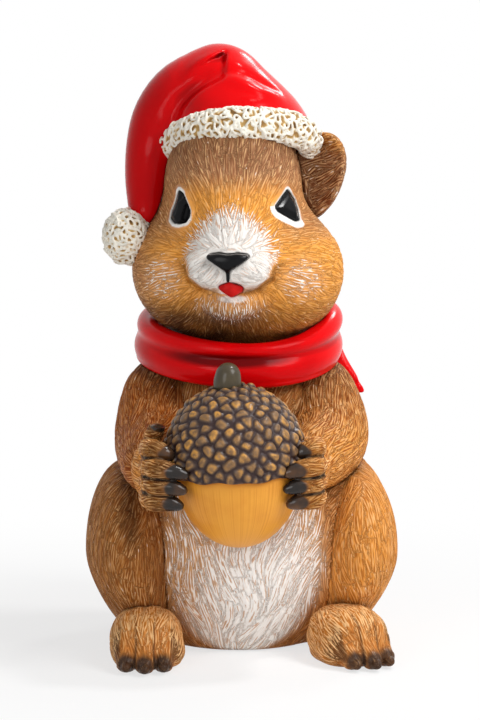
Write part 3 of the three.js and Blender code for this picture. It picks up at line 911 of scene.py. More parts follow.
def paw_form(side):
    """A palm with its fingers."""
    sign, node = SIDES[side], f"{side}_paw"
    palm = np.array([middle(node)[0] + sign * 3.0, corners(node)[1][1] - 7.0, middle(node)[2]])
    fingers = list(finger_balls(side))

    def form(p):
        paw = ellipsoid(p, palm, PALM_RADII)
        for balls in fingers:
            paw = smooth_min(paw, limb(p, balls, 1.0), 0.5)
        return paw

    return form


# Balls of the tail: how far behind its back line each lies, its height as a share, and its radius
TAIL = ((6.5, 0.4, 13.0), (6.5, 0.7, 13.0), (13.0, 1.0, 6.0))
TAIL_ROOT = (-3.5, 9.0, 9.0)


def tail_balls():
    """Root, two rounds and tip of the tail."""
    _, high = corners("tail")
    x, top, back = middle("tail")[0], high[2] - TAIL[-1][2], high[1] - (TAIL[0][0] + TAIL[0][2])
    behind, rise, radius = TAIL_ROOT
    rounds = [(x, back + y, share * top, size) for y, share, size in TAIL]
    return [(x, back + behind, rise, radius), *rounds]


def tail_form():
    """The tail, flat where it stands on the ground."""
    balls = tail_balls()
    return lambda p: smooth_max(limb(p, balls, 6.0), -p[:, 2], 1.5)


# Forms of the acorn

# Lean of the acorn forward and to the side in degrees, and how far it and its parts stand to the side
ACORN_LEAN, ACORN_SHIFT, NUT_SHIFT, STEM_SHIFT = (3.0, -2.0), 0.9, 1.0, -1.5
# How much larger the nut and cap are than their solids
NUT_GROWTH, CAP_GROWTH = 1.09, 1.03
# Heights of the nut and cap below and above the rim, and of the stem's place, as shares of half-widths
NUT_BELOW, NUT_ABOVE, CAP_ABOVE, CAP_BELOW, CAP_TOP = 1.29, 0.75, 1.13, 0.5, 1.157
# How far the cap hangs below its rim line, and how much its edge waves
CAP_SKIRT, CAP_WAVE = 1.7, 0.45
ORIGIN = (0.0, 0.0, 0.0)


def acorn_place():
    """Centre of the cap's rim."""
    x, y, _ = middle("acorn_nut")
    return np.array([x + ACORN_SHIFT, y, corners("acorn_cap")[0][2] + 5.1])


ACORN_AT = acorn_place()


def to_acorn(p):
    """Points in the acorn's frame, upright from the middle of the cap's rim."""
    return turn(turn(p - ACORN_AT, -ACORN_LEAN[0], 0), -ACORN_LEAN[1], 1)


def egg(q, wide, above, below):
    """Two half ellipsoids on one round rim."""
    upper, lower = (ellipsoid(q, ORIGIN, (wide, wide, share * wide)) for share in (above, below))
    return np.where(q[:, 2] > 0.0, upper, lower)


def nut_form():
    """The nut, most of it below the cap's rim."""
    wide = NUT_GROWTH * half("acorn_nut")[0]
    return lambda p: egg(to_acorn(p) - [NUT_SHIFT, 0.0, 0.0], wide, NUT_ABOVE, NUT_BELOW)


def cap_form():
    """The cap without its scales, with a waving rim."""
    wide = CAP_GROWTH * half("acorn_cap")[0]

    def form(p):
        q = to_acorn(p)
        x, y, z = q.T
        rim = CAP_WAVE * np.sin(11.0 * np.arctan2(y, x)) * np.sin(3.0 * np.arctan2(x, y))
        return smooth_max(egg(q, wide, CAP_ABOVE, CAP_BELOW), rim - CAP_SKIRT - z, 1.2)

    return form


def stem_form():
    """A stout stem on the cap."""
    top = CAP_TOP * half("acorn_cap")[0]
    balls = [(0.4, 0.0, top - 3.5, 3.9), (0.0, 0.0, top + 0.4, 3.75), (0.3, 0.0, top + 3.0, 3.75)]
    return lambda p: limb(to_acorn(p) - [STEM_SHIFT, 0.0, 0.0], balls, 2.0)


# Forms of the head, in its own frame

# Places of the eyes from the head's origin, their turn outward in degrees, and how far they stand out
EYE_FORWARD, EYE_RISE, EYE_TURN, EYE_STAND = 18.0, 17.0, 38.0, 2.2


def head_frame():
    """Origin and turn of the head, from where its eyes are."""
    left, right = middle("left_eye"), middle("right_eye")
    across = left - right
    yaw = math.degrees(math.atan2(across[1], across[0]))
    return (left + right) / 2 - turn([0.0, -EYE_FORWARD, EYE_RISE], yaw, 2), yaw


HEAD_AT, HEAD_YAW = head_frame()


def to_head(p):
    """Points in the head's frame."""
    return turn(p - HEAD_AT, -HEAD_YAW, 2)


def from_head(q):
    """Points of the head's frame in the figure's own."""
    return turn(q, HEAD_YAW, 2) + HEAD_AT


EYE_AT = np.array([to_head(middle("left_eye"))[0], -EYE_FORWARD - EYE_STAND, EYE_RISE])
NOSE_AT = to_head(middle("nose"))
TONGUE_AT = to_head(middle("tongue"))
# Outlines as seen square on, anticlockwise
EYE_ROUNDING = 0.9
EYE_OUTLINES = {
    "right": [(-2.3, 3.3), (-3.6, 2.6), (-6.9, -2.2), (-7.0, -3.4), (-6.2, -4.5),
              (-4.0, -5.1), (-1.8, -5.0), (-0.1, -4.0), (0.2, -2.5)],
    "left": [(0.9, 3.4), (-4.6, -0.8), (-4.2, -1.3), (2.0, -4.5),
             (3.2, -4.4), (4.1, -2.0), (3.8, 0.6), (2.0, 2.6)],
}
NOSE_OUTLINE = [(-0.2, -2.6), (5.4, 1.2), (-5.8, 1.2)]
TONGUE_OUTLINE = [(0.9, -2.7), (4.1, -1.0), (0.2, 0.4), (-2.2, -0.5)]
# Rounds that bound the nose and tongue, as centre and radii, and the line under the nose, as a rod
NOSE_ROUND, TONGUE_ROUND = ((0.0, 0.4, -0.6), (8.2, 4.2, 4.6)), ((0.0, 0.6, -0.8), (4.4, 4.0, 3.4))
NOSE_LINE = ((0.0, -1.6, -2.5), (0.0, -0.8, -6.6), 0.7, 0.5)
NOSE_ROUNDING, TONGUE_ROUNDING = 0.85, 0.8
# The line under each half of the muzzle as seen from the front, from the cheek to the mouth
SMILE = [(14.6, 0.0, -1.6), (12.6, 0.0, -5.6), (8.8, 0.0, -8.3), (4.2, 0.0, -9.0)]
SMILE_WIDTH, SMILE_DEPTH = 1.3, 1.5


def eye_plane(q, side):
    """Points as seen square on to an eye, with X outward, and their distance from the eye's outline."""
    m = q * [SIDES[side], 1.0, 1.0]
    e = turn(m - EYE_AT, -EYE_TURN, 2)
    return e, rounded_polygon(e[:, 0], e[:, 2], EYE_OUTLINES[side], EYE_ROUNDING)


SKULL_AT, SKULL_RADII, SKULL_POWER = (-2.0, 1.0, 15.0), (21.8, 29.5, 30.0), 2.6
# Rounds on the left half of the head: centre, radii, and the reach of the fillet to what is there before
HEAD_ROUNDS = {
    "cheek": ((14.0, -6.0, -5.0), (19.5, 23.0, 19.0), 10.0),
    "jaw": ((0.0, 2.0, -11.0), (27.0, 28.0, 19.0), 8.0),
    "bridge": ((0.0, -21.0, 8.0), (10.0, 13.0, 12.0), 9.0),
    "muzzle": ((0.0, -24.5, -2.0), (14.0, 16.0, 11.0), 6.0),
    "lip": ((6.3, -32.5, -3.4), (8.4, 8.6, 6.2), 2.2),
    "chin": ((0.0, -29.0, -13.5), (8.5, 8.0, 5.0), 4.0),
}
EYE_SOCKET, EYE_SOCKET_WIDTH = 0.8, 8.0


def bare_head(q):
    """Skull, cheeks, muzzle and chin without the eyes, nose and mouth."""
    m = q.copy()
    m[:, 0] = np.abs(q[:, 0])
    head = superellipsoid(q, SKULL_AT, SKULL_RADII, SKULL_POWER)
    for centre, radii, reach in HEAD_ROUNDS.values():
        head = smooth_min(head, ellipsoid(m, centre, radii), reach)
    flat = m * [1.0, 0.0, 1.0]
    head = head + crease(flat, SMILE, SMILE_WIDTH, SMILE_DEPTH) * fade(m[:, 1], -24.0, -29.0)
    return head + EYE_SOCKET * bell(length(m - EYE_AT), EYE_SOCKET_WIDTH)


# Mouth behind the tongue, as seen from it
MOUTH_AT, MOUTH_RADII = (1.0, -3.0, -1.2), (4.2, 5.0, 2.3)
# Lid round an eye: its height and half its width. Crown of the eye above the lids, and its depth under them
LID_HEIGHT, LID_WIDTH, EYE_CROWN, EYE_DEPTH = 0.45, 0.7, 1.2, 2.0
# Distance from an eye's middle within which its lid lies, and what stands for no eye near
EYE_REACH, FAR_AWAY = 10.0, 20.0


def face_parts(q):
    """Distances of the head, the eyes, the nose and the tongue, each without room for the others."""
    head = bare_head(q)
    head = smooth_max(head, -ellipsoid(q, TONGUE_AT + MOUTH_AT, MOUTH_RADII), 1.2)
    eye = np.full(len(q), FAR_AWAY)
    for side, sign in SIDES.items():
        outline = eye_plane(q, side)[1]
        beside = np.maximum(length(q - EYE_AT * [sign, 1.0, 1.0]) - EYE_REACH, -sign * q[:, 0])
        head = head - np.where(beside < 0.0, LID_HEIGHT * bell(outline - LID_WIDTH, LID_WIDTH), 0.0)
        ball = smooth_max(outline, head - 0.3 - EYE_CROWN * fade(outline, 0.0, -2.6), 0.5)
        eye = np.minimum(eye, np.maximum(np.maximum(ball, -head - EYE_DEPTH), beside))
    n = q - NOSE_AT
    wave = 0.5 + 0.15 * np.cos(1.1 * n[:, 0]) * fade(n[:, 2], -1.0, 1.5)
    tip = rounded_polygon(n[:, 0], n[:, 2] + wave, NOSE_OUTLINE, NOSE_ROUNDING)
    nose = smooth_max(tip, ellipsoid(n, *NOSE_ROUND), 0.9)
    nose = smooth_min(nose, rod(n, *NOSE_LINE), 0.8)
    t = q - TONGUE_AT
    tongue = rounded_polygon(t[:, 0], t[:, 2], TONGUE_OUTLINE, TONGUE_ROUNDING)
    tongue = smooth_max(tongue, ellipsoid(t, *TONGUE_ROUND), 0.5)
    return head, eye, nose, tongue


def head_form(p):
    """The head with room for the eyes, nose and tongue."""
    head, *parts = face_parts(to_head(p))
    for part in parts:
        head = np.maximum(head, GLUE_LINE - part)
    return head


def eye_form(side):
    """The eye on one side of the head."""

    def form(p):
        q = to_head(p)
        return np.maximum(face_parts(q)[1], -SIDES[side] * q[:, 0])

    return form


EAR_AT, EAR_WIDE, EAR_TALL, EAR_THICK = np.array([24.8, 4.0, 24.4]), 8.4, 14.0, 1.4
EAR_LEAN, EAR_YAW = 12.0, -12.0


def to_ear(p):
    """Points in the ear's frame, with X outward and Z up along the ear."""
    return turn(turn(to_head(p) - EAR_AT, -EAR_LEAN, 1), -EAR_YAW, 2)


def ear_form(p):
    """A bent leaf, hollow in front, with a thicker rim."""
    e = to_ear(p)
    x, z = e[:, 0] / (1.0 + 0.012 * e[:, 2]), e[:, 2]
    edge = oval(x, z, EAR_WIDE, EAR_TALL)
    bowl = 2.6 - 5.0 * (0.75 * (x / EAR_WIDE) ** 2 + 0.55 * (z / EAR_TALL) ** 2)
    rim = 0.45 * bell(edge + 1.2, 1.2)
    leaf = np.abs(e[:, 1] - bowl) * 0.8 - EAR_THICK - rim
    return smooth_max(leaf, edge, 1.3)


# Forms of the hat and scarf

# Brim: its tilts in degrees, the radius of its roll, how far curls stand on it, and its height as a share
BRIM_TILT, BRIM_ROLL, BRIM_TUBE, CURL_STAND, BRIM_TALL = -19.0, -5.0, 4.9, 1.0, 1.2
BRIM_CORE = BRIM_TUBE - CURL_STAND
CROWN_AT, CROWN_RISE, CROWN_SPARE = (0.0, 6.0, 33.0), 22.5, 1.5
# Hanging fold from the peak to its tip: places and radii in the head's frame
HAT_FOLD = eased([(-7.0, 5.0, 51.2, 14.6), (-17.0, 5.0, 48.4, 12.5), (-23.8, 4.5, 42.0, 10.6),
                  (-27.3, 3.5, 33.4, 9.0), (-28.4, 0.0, 23.3, 7.9), (-28.9, -6.0, 13.4, 5.6)], 21)
# Grooves and ridges of the cloth: stops in the head's frame, width, and depth or height
HAT_GROOVES = (
    ([(-3.8, -7.9, 56.0), (-8.9, -8.2, 54.4), (-14.8, -7.4, 50.9), (-18.1, -6.6, 48.3),
      (-20.8, -6.0, 45.0)], 2.6, 1.8),
    ([(-2.2, -7.6, 56.4), (3.6, -5.6, 55.6), (7.5, -5.3, 54.0), (12.4, -4.0, 51.8)], 1.7, 0.7),
)
HAT_RIDGES = (
    ([(-15.6, -6.0, 57.9), (-12.1, -5.8, 60.9), (-9.2, -5.7, 62.2), (-6.1, -3.9, 63.4)], 2.2, 0.5),
    ([(-3.0, -5.5, 60.6), (0.0, -5.2, 59.3), (3.5, -4.0, 57.6)], 2.6, 0.5),
    ([(-4.2, -9.2, 55.6), (0.0, -10.6, 55.2), (3.2, -11.1, 53.8), (8.0, -10.6, 51.8), (12.8, -6.8, 50.8)],
     2.6, 1.2),
    ([(1.3, -14.2, 49.4), (3.8, -13.5, 49.7), (6.6, -12.5, 49.5)], 1.4, 0.4),
)
# Pocket under the peak: its right edge, depth and reach, and its upper and lower edges from right to left
POCKET_EDGE, POCKET_DEPTH, POCKET_REACH = -3.6, 1.9, 14.0
POCKET_TOP = ((-15.6, 57.9), (-9.2, 62.2), (-4.0, 64.2))
POCKET_FOOT = ((-18.1, 48.3), (-8.9, 54.4), (-3.8, 56.0))
BRIM_AT = to_head(middle("hat_brim"))
BRIM_RX = half("hat_brim")[0] - BRIM_TUBE + CURL_STAND
BRIM_RY = (half("hat_brim")[1] - BRIM_TUBE) / math.cos(math.radians(BRIM_TILT))
POMPOM_AT = to_head(middle("hat_pompom"))
POMPOM_RADII = (half("hat_pompom")[2] - 1.1) * np.array([0.88, 1.0, 1.03])


def to_ring(p):
    """Points in the frame of the brim, which lies flat there."""
    return turn(turn(to_head(p) - BRIM_AT, -BRIM_ROLL, 1), -BRIM_TILT, 0)


def from_ring(r):
    """Points of the brim's frame in the figure's own."""
    return from_head(turn(turn(r, BRIM_TILT, 0), BRIM_ROLL, 1) + BRIM_AT)


def ring_gap(r, rx, ry):
    """Distance outward and upward of each point from an oval ring, and the angle round it."""
    angle = np.arctan2(r[:, 1] / ry, r[:, 0] / rx)
    ring = np.stack([rx * np.cos(angle), ry * np.sin(angle)], 1)
    out = np.hypot(r[:, 0], r[:, 1]) - length(ring)
    return out, r[:, 2], angle


def brim_base(p):
    """The brim's roll without its curls."""
    out, up, _ = ring_gap(to_ring(p), BRIM_RX, BRIM_RY)
    return oval(out, up, BRIM_CORE, BRIM_TALL * BRIM_CORE)


def pompom_base(p):
    """The bobble without its curls."""
    return ellipsoid(to_head(p), POMPOM_AT, POMPOM_RADII)


def hat_form(p):
    """A crown drawn up to a peak that folds over to the figure's right."""
    q = to_head(p)
    crown_at = np.array(CROWN_AT)
    crown = np.array([BRIM_RX + CROWN_SPARE, BRIM_RY + CROWN_SPARE, CROWN_RISE])
    peak_at, peak = np.array(HAT_FOLD[0][:3]), np.full(3, HAT_FOLD[0][3])
    cloth = ellipsoid(q, crown_at, crown)
    for share in (0.25, 0.5, 0.75, 1.0):
        part = ellipsoid(q, crown_at + share * (peak_at - crown_at), crown + share * (peak - crown))
        cloth = smooth_min(cloth, part, 2.0)
    cloth = smooth_max(cloth, -1.0 - to_ring(p)[:, 2], 1.0)
    cloth = smooth_min(cloth, limb(q, HAT_FOLD, 1.0), 1.6)
    for stops, width, depth in HAT_GROOVES:
        cloth = cloth + crease(q, stops, width, depth)
    for stops, width, height in HAT_RIDGES:
        cloth = cloth - crease(q, stops, width, height)
    return cloth + hat_pocket(q)


def hat_pocket(q):
    """Depth of the pocket, steep at its right edge and running out to the left."""
    x, y, z = q.T
    top, foot = (np.interp(x, *zip(*line)) for line in (POCKET_TOP, POCKET_FOOT))
    edge = fade(x, POCKET_EDGE + 1.0, POCKET_EDGE - 2.0)
    run_out = fade(x, POCKET_EDGE - POCKET_REACH, POCKET_EDGE - 2.0)
    depth = POCKET_DEPTH * (edge * run_out)
    return depth * fade(z - top, 0.6, -1.8) * fade(z - foot, -1.5, 2.5) * fade(y, 3.0, -1.0)


COLLAR_TILT, COLLAR_LIFT = 10.0, 1.8
COLLAR_AT = middle("scarf_collar") + [0.0, 0.0, COLLAR_LIFT]
COLLAR_RX, COLLAR_RY = half("scarf_collar")[0] - 4.0, half("scarf_collar")[1] - 4.2
# Upper roll: how far in and how high it lies, and its radius. Lower roll: how low it lies, and its radii
UPPER_IN, UPPER_RISE, UPPER_RADIUS = 0.3, 4.7, 3.4
LOWER_DROP, LOWER_RADII = 2.3, (3.9, 5.2)
# Angles round the neck, in radians from the figure's left, and how wide each place is
FRONT, LEFT, SHADED = (-1.6, 0.5), (0.0, 0.4), (-1.75, 0.34)


def to_collar(p):
    """Points in the scarf's frame, where it lies level."""
    return turn(p - COLLAR_AT, -COLLAR_TILT, 0)


def facing(angle, place):
    """1 at one place round the neck, fading to either side."""
    middle_angle, spread = place
    return bell(np.sin(0.5 * (angle - middle_angle)), spread)


def collar_valley(angle):
    """Height of the valley between the two rolls."""
    return 2.0 + 0.3 * facing(angle, FRONT) + 1.2 * facing(angle, LEFT)


def collar_paint(p):
    """Share of deep red in the wide shadow of the valley, strongest in front."""
    _, up, angle = ring_gap(to_collar(p), COLLAR_RX, COLLAR_RY)
    return 0.95 * facing(angle, SHADED) * bell(up - collar_valley(angle) + 0.6, 2.0)


def collar_form(p):
    """A narrow roll of cloth over a wide one. The valley between them is deepest in front."""
    out, up, angle = ring_gap(to_collar(p), COLLAR_RX, COLLAR_RY)
    sway = 0.8 * np.sin(2.0 * angle + 0.6) + 0.4 * np.sin(3.0 * angle + 2.0)
    front, left = facing(angle, FRONT), facing(angle, LEFT)
    above = up - UPPER_RISE - 0.4 * sway + 0.5 * front - 1.9 * left
    upper = np.hypot(out + UPPER_IN, above) - UPPER_RADIUS + 0.7 * front - 0.8 * left
    lower = oval(out, up + LOWER_DROP - 0.3 * sway - 0.6 * left, *LOWER_RADII)
    cloth = smooth_min(upper, lower, 3.5)
    cloth = cloth + (0.2 + 0.7 * front) * bell(up - collar_valley(angle), 1.9)
    lip = -6.2 + 0.3 * sway
    return cloth - 0.4 * bell(up - lip, 0.8) * fade(out, 0.0, 1.5)


# The strip starts this much higher than its solid and stands out by the next
SCARF_END_LIFT, SCARF_END_OUT, SCARF_END_LEAN, SCARF_END_THICK = 5.5, 4.0, 0.42, 1.2
SCARF_END_AT = middle("scarf_end") + [SCARF_END_OUT, 0.0, SCARF_END_LIFT]
SCARF_END_SIZE = half("scarf_end") - [0.0, 0.0, SCARF_END_LIFT]


def scarf_end_form(p):
    """A strip that hangs behind the left shoulder, gathered above and waving out to its hem."""
    x, y, z = (p - SCARF_END_AT).T
    size = SCARF_END_SIZE
    down = fade(z, size[2], -size[2])
    lean = SCARF_END_LEAN * z
    wave = (0.4 + 0.8 * down) * np.sin(1.05 * y + 0.7 + 0.05 * z) + 0.3 * np.sin(0.35 * z)
    wide = np.abs(y) + (1.0 - down) * 0.28 * size[1]
    hem = 0.35 * bell(z + size[2] - 3.6, 0.7)
    box = np.stack([np.abs(x + lean + wave), wide, np.abs(z)], 1) - [1.5, size[1] - 2.5, size[2] - 1.5]
    outside = length(np.maximum(box, 0.0))
    return outside + np.minimum(box.max(1), 0.0) - SCARF_END_THICK + hem


# How the hair lies


def steady(p, *way):
    """One direction for every point."""
    return np.tile(np.array(way, float), (len(p), 1))


def flow_along(balls):
    """Along the nearest part of a limb."""
    stops = np.array([ball[:3] for ball in balls], float)

    def flow(p):
        total = np.zeros_like(p)
        for a, b in zip(stops[:-1], stops[1:]):
            gap = np.maximum(along(p, [a, b])[0], 1.0)
            total += ((b - a) / np.linalg.norm(b - a)) / gap[:, None] ** 3
        return unit(total)

    return flow


def flow_from(point):
    """Away from a point on all sides."""
    return lambda p: p - np.asarray(point, float)


def swirled(flow, amount, span):
    """A flow that wanders to either side over a span in millimetres."""

    def swayed(p):
        way = unit(flow(p))
        x, y, z = p.T / span
        sway = np.sin(x + 1.3 * np.sin(z)) + np.sin(z * 1.3 + y)
        return way + amount * sway[:, None] * np.cross(way, [0.0, -1.0, 0.0])

    return swayed


ZONES = ("dark", "glow", "white", "pale", "calm")


def zone_set(p, **given):
    """Paint masks for points, zero if not given. pale is the share of white hairs, calm flattens locks."""
    return {key: given.get(key, 0.0) + np.zeros(len(p)) for key in ZONES}


def furry(node, slot, form, flow, zones, colours, look, seed, size=1.0, relief=1.0):
    """A furred piece with one coat of locks. size scales the locks, and relief their height."""
    shape = carved(node, form)
    hair = fur(shape, flow, size * look.lock_width / MM, size * look.lock_length / MM, seed)
    return finish_fur(node, slot, shape, zones(shape.points), hair, colours, relief * look.relief / MM)


def finish_fur(node, slot, shape, masks, hair, colours, relief):
    """Makes a furred piece from its masks and locks. The relief fades out at the ground."""
    above = fade(shape.points[:, 2], 0.3, 1.5)
    height = relief * (hair["ridge"] - 0.5) * (1.0 - masks["calm"]) * above
    values = {**masks, **hair}
    return make_piece(node, slot, shape, height, values, fur_material(f"{node} fur", colours))


def coat_of(look, **changes):
    """The fur's paints, with changes for one piece."""
    colours = {"Coat": look.coat, "Groove": look.groove, "Tip": look.tip, "Paint": look.white,
               "Shade": look.shade, "Glow": look.glow, "Depth": 0.85}
    colours.update(changes)
    return colours


def closeness(form, p, reach):
    """1 at a neighbour's surface, fading away from it over a reach."""
    return np.exp(-np.maximum(form(p), 0.0) / reach)


# One operator for each piece or group of like pieces


# Scale of the belly's strokes: width and length of a lock, and hairs across and along it
BELLY_LOCK, BELLY_STROKE = (0.9, 1.3), (0.95, 0.75)
# White of the belly: its middle height, how far it reaches above and below that, and its half-width
PATCH_RISE, PATCH_ABOVE, PATCH_BELOW, PATCH_WIDE = 32.0, 46.0, 32.5, 27.0
PLATE_CLEARANCE = 0.3


def ground(p):
    """What the figure stands on, touching it without a glue line."""
    return p[:, 2] + GLUE_LINE


def plate_seat():
    """Room for the plate that closes the pour hole."""
    centre, size = middle("base_plate"), half("base_plate")

    def form(p):
        out = np.hypot(p[:, 0] - centre[0], p[:, 1] - centre[1]) - size[0] - PLATE_CLEARANCE
        return np.maximum(out, p[:, 2] - 2.0 * size[2] - PLATE_CLEARANCE)

    return form


def in_front(p):
    """1 on the front of the torso, easing to 0 at its sides."""
    return fade(p[:, 1], -8.0, -14.0)


def belly_patch(p):
    """1 on the white of the belly, easing to 0 over its edge."""
    rise = p[:, 2] - PATCH_RISE
    share = rise / np.where(rise > 0.0, PATCH_ABOVE, PATCH_BELOW)
    wide = PATCH_WIDE * np.sqrt(np.clip(1.0 - share**2, 0.0, 1.0))
    return fade(np.abs(p[:, 0] + 0.8) - wide, 2.0, -5.0) * in_front(p)


def torso_flow(p):
    """Down the back, and drawn in to the foot of the belly in front, more so on the left."""
    share = fade(np.abs(p[:, 0]), 34.0, 26.0) * in_front(p)
    pull = np.where(p[:, 0] > 0.0, 0.85, 0.4) * (0.45 + 0.55 * fade(p[:, 2], 6.0, 42.0))
    way = steady(p, 0.0, 0.0, -1.0)
    way[:, 0] = -share * pull * p[:, 0] / 20.0
    return way


class SculptTorso(bpy.types.Operator):
    """Belly, chest and back, with long white strokes down the belly"""

    bl_idname = "figurine.torso"
    bl_label = "Torso"

    def execute(self, context):
        look = context.scene.figurine_fur
        form = torso_form()
        haunches, arms = [haunch_form(side) for side in SIDES], [arm_form(side) for side in SIDES]
        for haunch, reach in zip(haunches, (7.0, 3.5)):
            form = meeting(form, haunch, reach)
        form = clear_of(form, *arms, tail_form(), nut_form(), plate_seat(), ground)
        shape = carved("torso", form)
        p = shape.points
        x, _, z = p.T
        patch = belly_patch(p)
        # Painted shade beside the arms, the right haunch and the scarf, mostly kept off the belly's white
        shadows = [0.8 * closeness(arm, p, 5.0) for arm in arms]
        shadows += [0.85 * closeness(haunches[1], p, 3.0), 0.85 * closeness(collar_form, p, 6.0)]
        core = fade(np.hypot((x - 5.0) / 20.0, (z - 18.0) / 24.0), 1.5, 0.3)
        solid = np.maximum(0.36 * core, 0.45 * fade(z, 18.0, 4.0))
        dark = np.max(shadows, axis=0) * (1.0 - 0.7 * patch)
        pale = (0.52 + 0.42 * core) * patch
        masks = zone_set(p, dark=dark, glow=patch, white=solid * patch, pale=pale)
        width, reach = look.lock_width / MM, look.lock_length / MM
        hair = fur(shape, torso_flow, width, reach, 11)
        front = patch > 0.02
        wavy_flow = swirled(torso_flow, 0.22, 5.0)
        wavy = fur(shape, wavy_flow, BELLY_LOCK[0] * width, BELLY_LOCK[1] * reach, 12, only=front)
        wavy["across"] *= BELLY_STROKE[0]
        wavy["along"] *= BELLY_STROKE[1]
        for key, value in wavy.items():
            hair[key][front] = value
        colours = coat_of(look, Glow=look.belly, Paint=look.chalk, Depth=0.5)
        finish_fur("torso", "body_fur", shape, masks, hair, colours, look.relief / MM)
        return {"FINISHED"}


def haunch_zones(side):
    """Paint of a haunch, with painted shade beside the arm and the foot. The right one is darker, partly its
    own paint and partly painted shade for its shaded side, with painted shade beside the torso and a painted
    shadow down its outer side.
    """
    arm, foot, torso = arm_form(side), foot_form(side), torso_form()

    def zones(p):
        x, y, z = p.T
        at_foot = 0.85 * closeness(foot, p, 1.6)
        if side == "left":
            # Painted shade beside the arm and, through at_foot, above the foot
            dark = np.maximum(0.7 * closeness(arm, p, 3.0), at_foot)
            return zone_set(p, dark=dark, glow=0.5 * fade(y, 10.0, -25.0))
        # Painted shadow down the outer side, painted shade beside the arm, torso and foot, and a floor of
        # dark all over, partly own paint and partly painted shade
        band = 0.95 * bell(x + 36.5, 5.0) * fade(z, 22.0, 44.0) * fade(y, 4.0, -8.0)
        near = [0.9 * closeness(arm, p, 5.0), 0.75 * closeness(torso, p, 2.6), at_foot]
        return zone_set(p, dark=np.maximum(np.max([band, *near], axis=0), 0.42))

    return zones


class SculptHaunches(bpy.types.Operator):
    """Both haunches, with hair that lies down and back"""

    bl_idname = "figurine.haunches"
    bl_label = "Haunches"

    def execute(self, context):
        look = context.scene.figurine_fur
        for seed, (side, sign) in enumerate(SIDES.items(), 21):

            def flow(p, sign=sign):
                way = steady(p, 0.12 * sign, -0.1, -1.0)
                way[:, 0] -= 0.3 * sign * fade(p[:, 2], 30.0, 4.0)
                return way

            form = clear_of(haunch_form(side), arm_form(side))
            zones, colours = haunch_zones(side), coat_of(look, Depth=0.6)
            flow = swirled(flow, 0.12, 11.0)
            furry(f"{side}_haunch", "leg_fur", form, flow, zones, colours, look, seed)
        return {"FINISHED"}


def foot_zones(side):
    """Paint of a foot: light hair, dark lines between the toes, dull nails, and painted shade under the
    haunch.
    """
    haunch = haunch_form(side)
    knuckles, tips = (np.array([balls[i][:3] for balls in toe_balls(side)]) for i in (1, 2))

    def zones(p):
        q = to_foot(p, side)
        nearest = np.abs(q[:, None, 0] - knuckles[None, :, 0]).argmin(1)
        ahead = tips[nearest, 1] - q[:, 1]
        aside = np.abs(q[:, 0] - knuckles[nearest, 0])
        nail = fade(ahead, -0.5, 2.4)
        gap = 0.75 * fade(aside, 2.0, 2.7) * fade(ahead, -9.0, -4.0) * fade(q[:, 2], 1.5, 4.0)
        # Painted shade under the haunch, beside the own dark of the nails and toe gaps
        dark = np.max([nail, gap, 0.8 * closeness(haunch, p, 1.3)], axis=0)
        glow, pale = 0.4 * fade(ahead, -2.0, -6.0), 0.65 * fade(ahead, -1.0, -4.0)
        return zone_set(p, dark=dark, glow=glow, pale=pale, calm=0.6 * fade(ahead, -1.0, 1.5))

    return zones


class SculptFeet(bpy.types.Operator):
    """Both feet, each with three toes and dark claws"""

    bl_idname = "figurine.feet"
    bl_label = "Feet"

    def execute(self, context):
        look = context.scene.figurine_fur
        for seed, side in enumerate(SIDES, 31):

            def flow(p, side=side):
                return turn(steady(p, 0.0, -1.0, -0.5), FOOT_TURN[side], 2)

            form = clear_of(foot_form(side), haunch_form(side), torso_form())
            colours = coat_of(look, Shade=look.nail, Paint=look.tip, Depth=0.5)
            zones = foot_zones(side)
            furry(f"{side}_foot", "foot_fur", form, flow, zones, colours, look, seed)
        return {"FINISHED"}


# How much painted shade each arm takes: the right arm is on the shaded side, and the lower left arm takes
# warm paint as painted light for the lit side
ARM_SHADE = {"left": 0.6, "right": 1.0}


def arm_zones(side):
    """Paint of an arm: painted shade under the scarf and beside the haunch and cap, and all over the right
    arm, which is on the shaded side.
    """
    haunch, cap, shade = haunch_form(side), cap_form(), ARM_SHADE[side]

    def zones(p):
        near = [(0.5 + 0.6 * shade) * closeness(collar_form, p, 12.0), 0.8 * closeness(haunch, p, 2.0),
                0.75 * closeness(cap, p, 3.5)]
        dark = np.clip(np.max(near, axis=0), 1.3 * shade - 0.8, 1.0)
        return zone_set(p, dark=dark, glow=1.5 * (1.0 - shade) * fade(p[:, 2], 80.0, 66.0))

    return zones


class SculptArms(bpy.types.Operator):
    """Both arms"""

    bl_idname = "figurine.arms"
    bl_label = "Arms"

    def execute(self, context):
        look = context.scene.figurine_fur
        # The right arm's coat is its copy for the shaded side, as painted shade
        coats = {"left": look.coat, "right": look.shade_side_coat}
        for seed, side in enumerate(SIDES, 41):
            form = clear_of(arm_form(side), cap_form(), nut_form(), collar_form)
            flow = swirled(flow_along(arm_balls(side)), 0.35, 7.0)
            zones, colours = arm_zones(side), coat_of(look, Coat=coats[side])
            furry(f"{side}_arm", "arm_fur", form, flow, zones, colours, look, seed)
        return {"FINISHED"}


# How strongly dark paint is smudged over the fingers of each paw. The right paw's stronger smudge is partly
# painted shade, as it is on the shaded side
PAW_SMUDGE = {"left": 0.45, "right": 0.75}


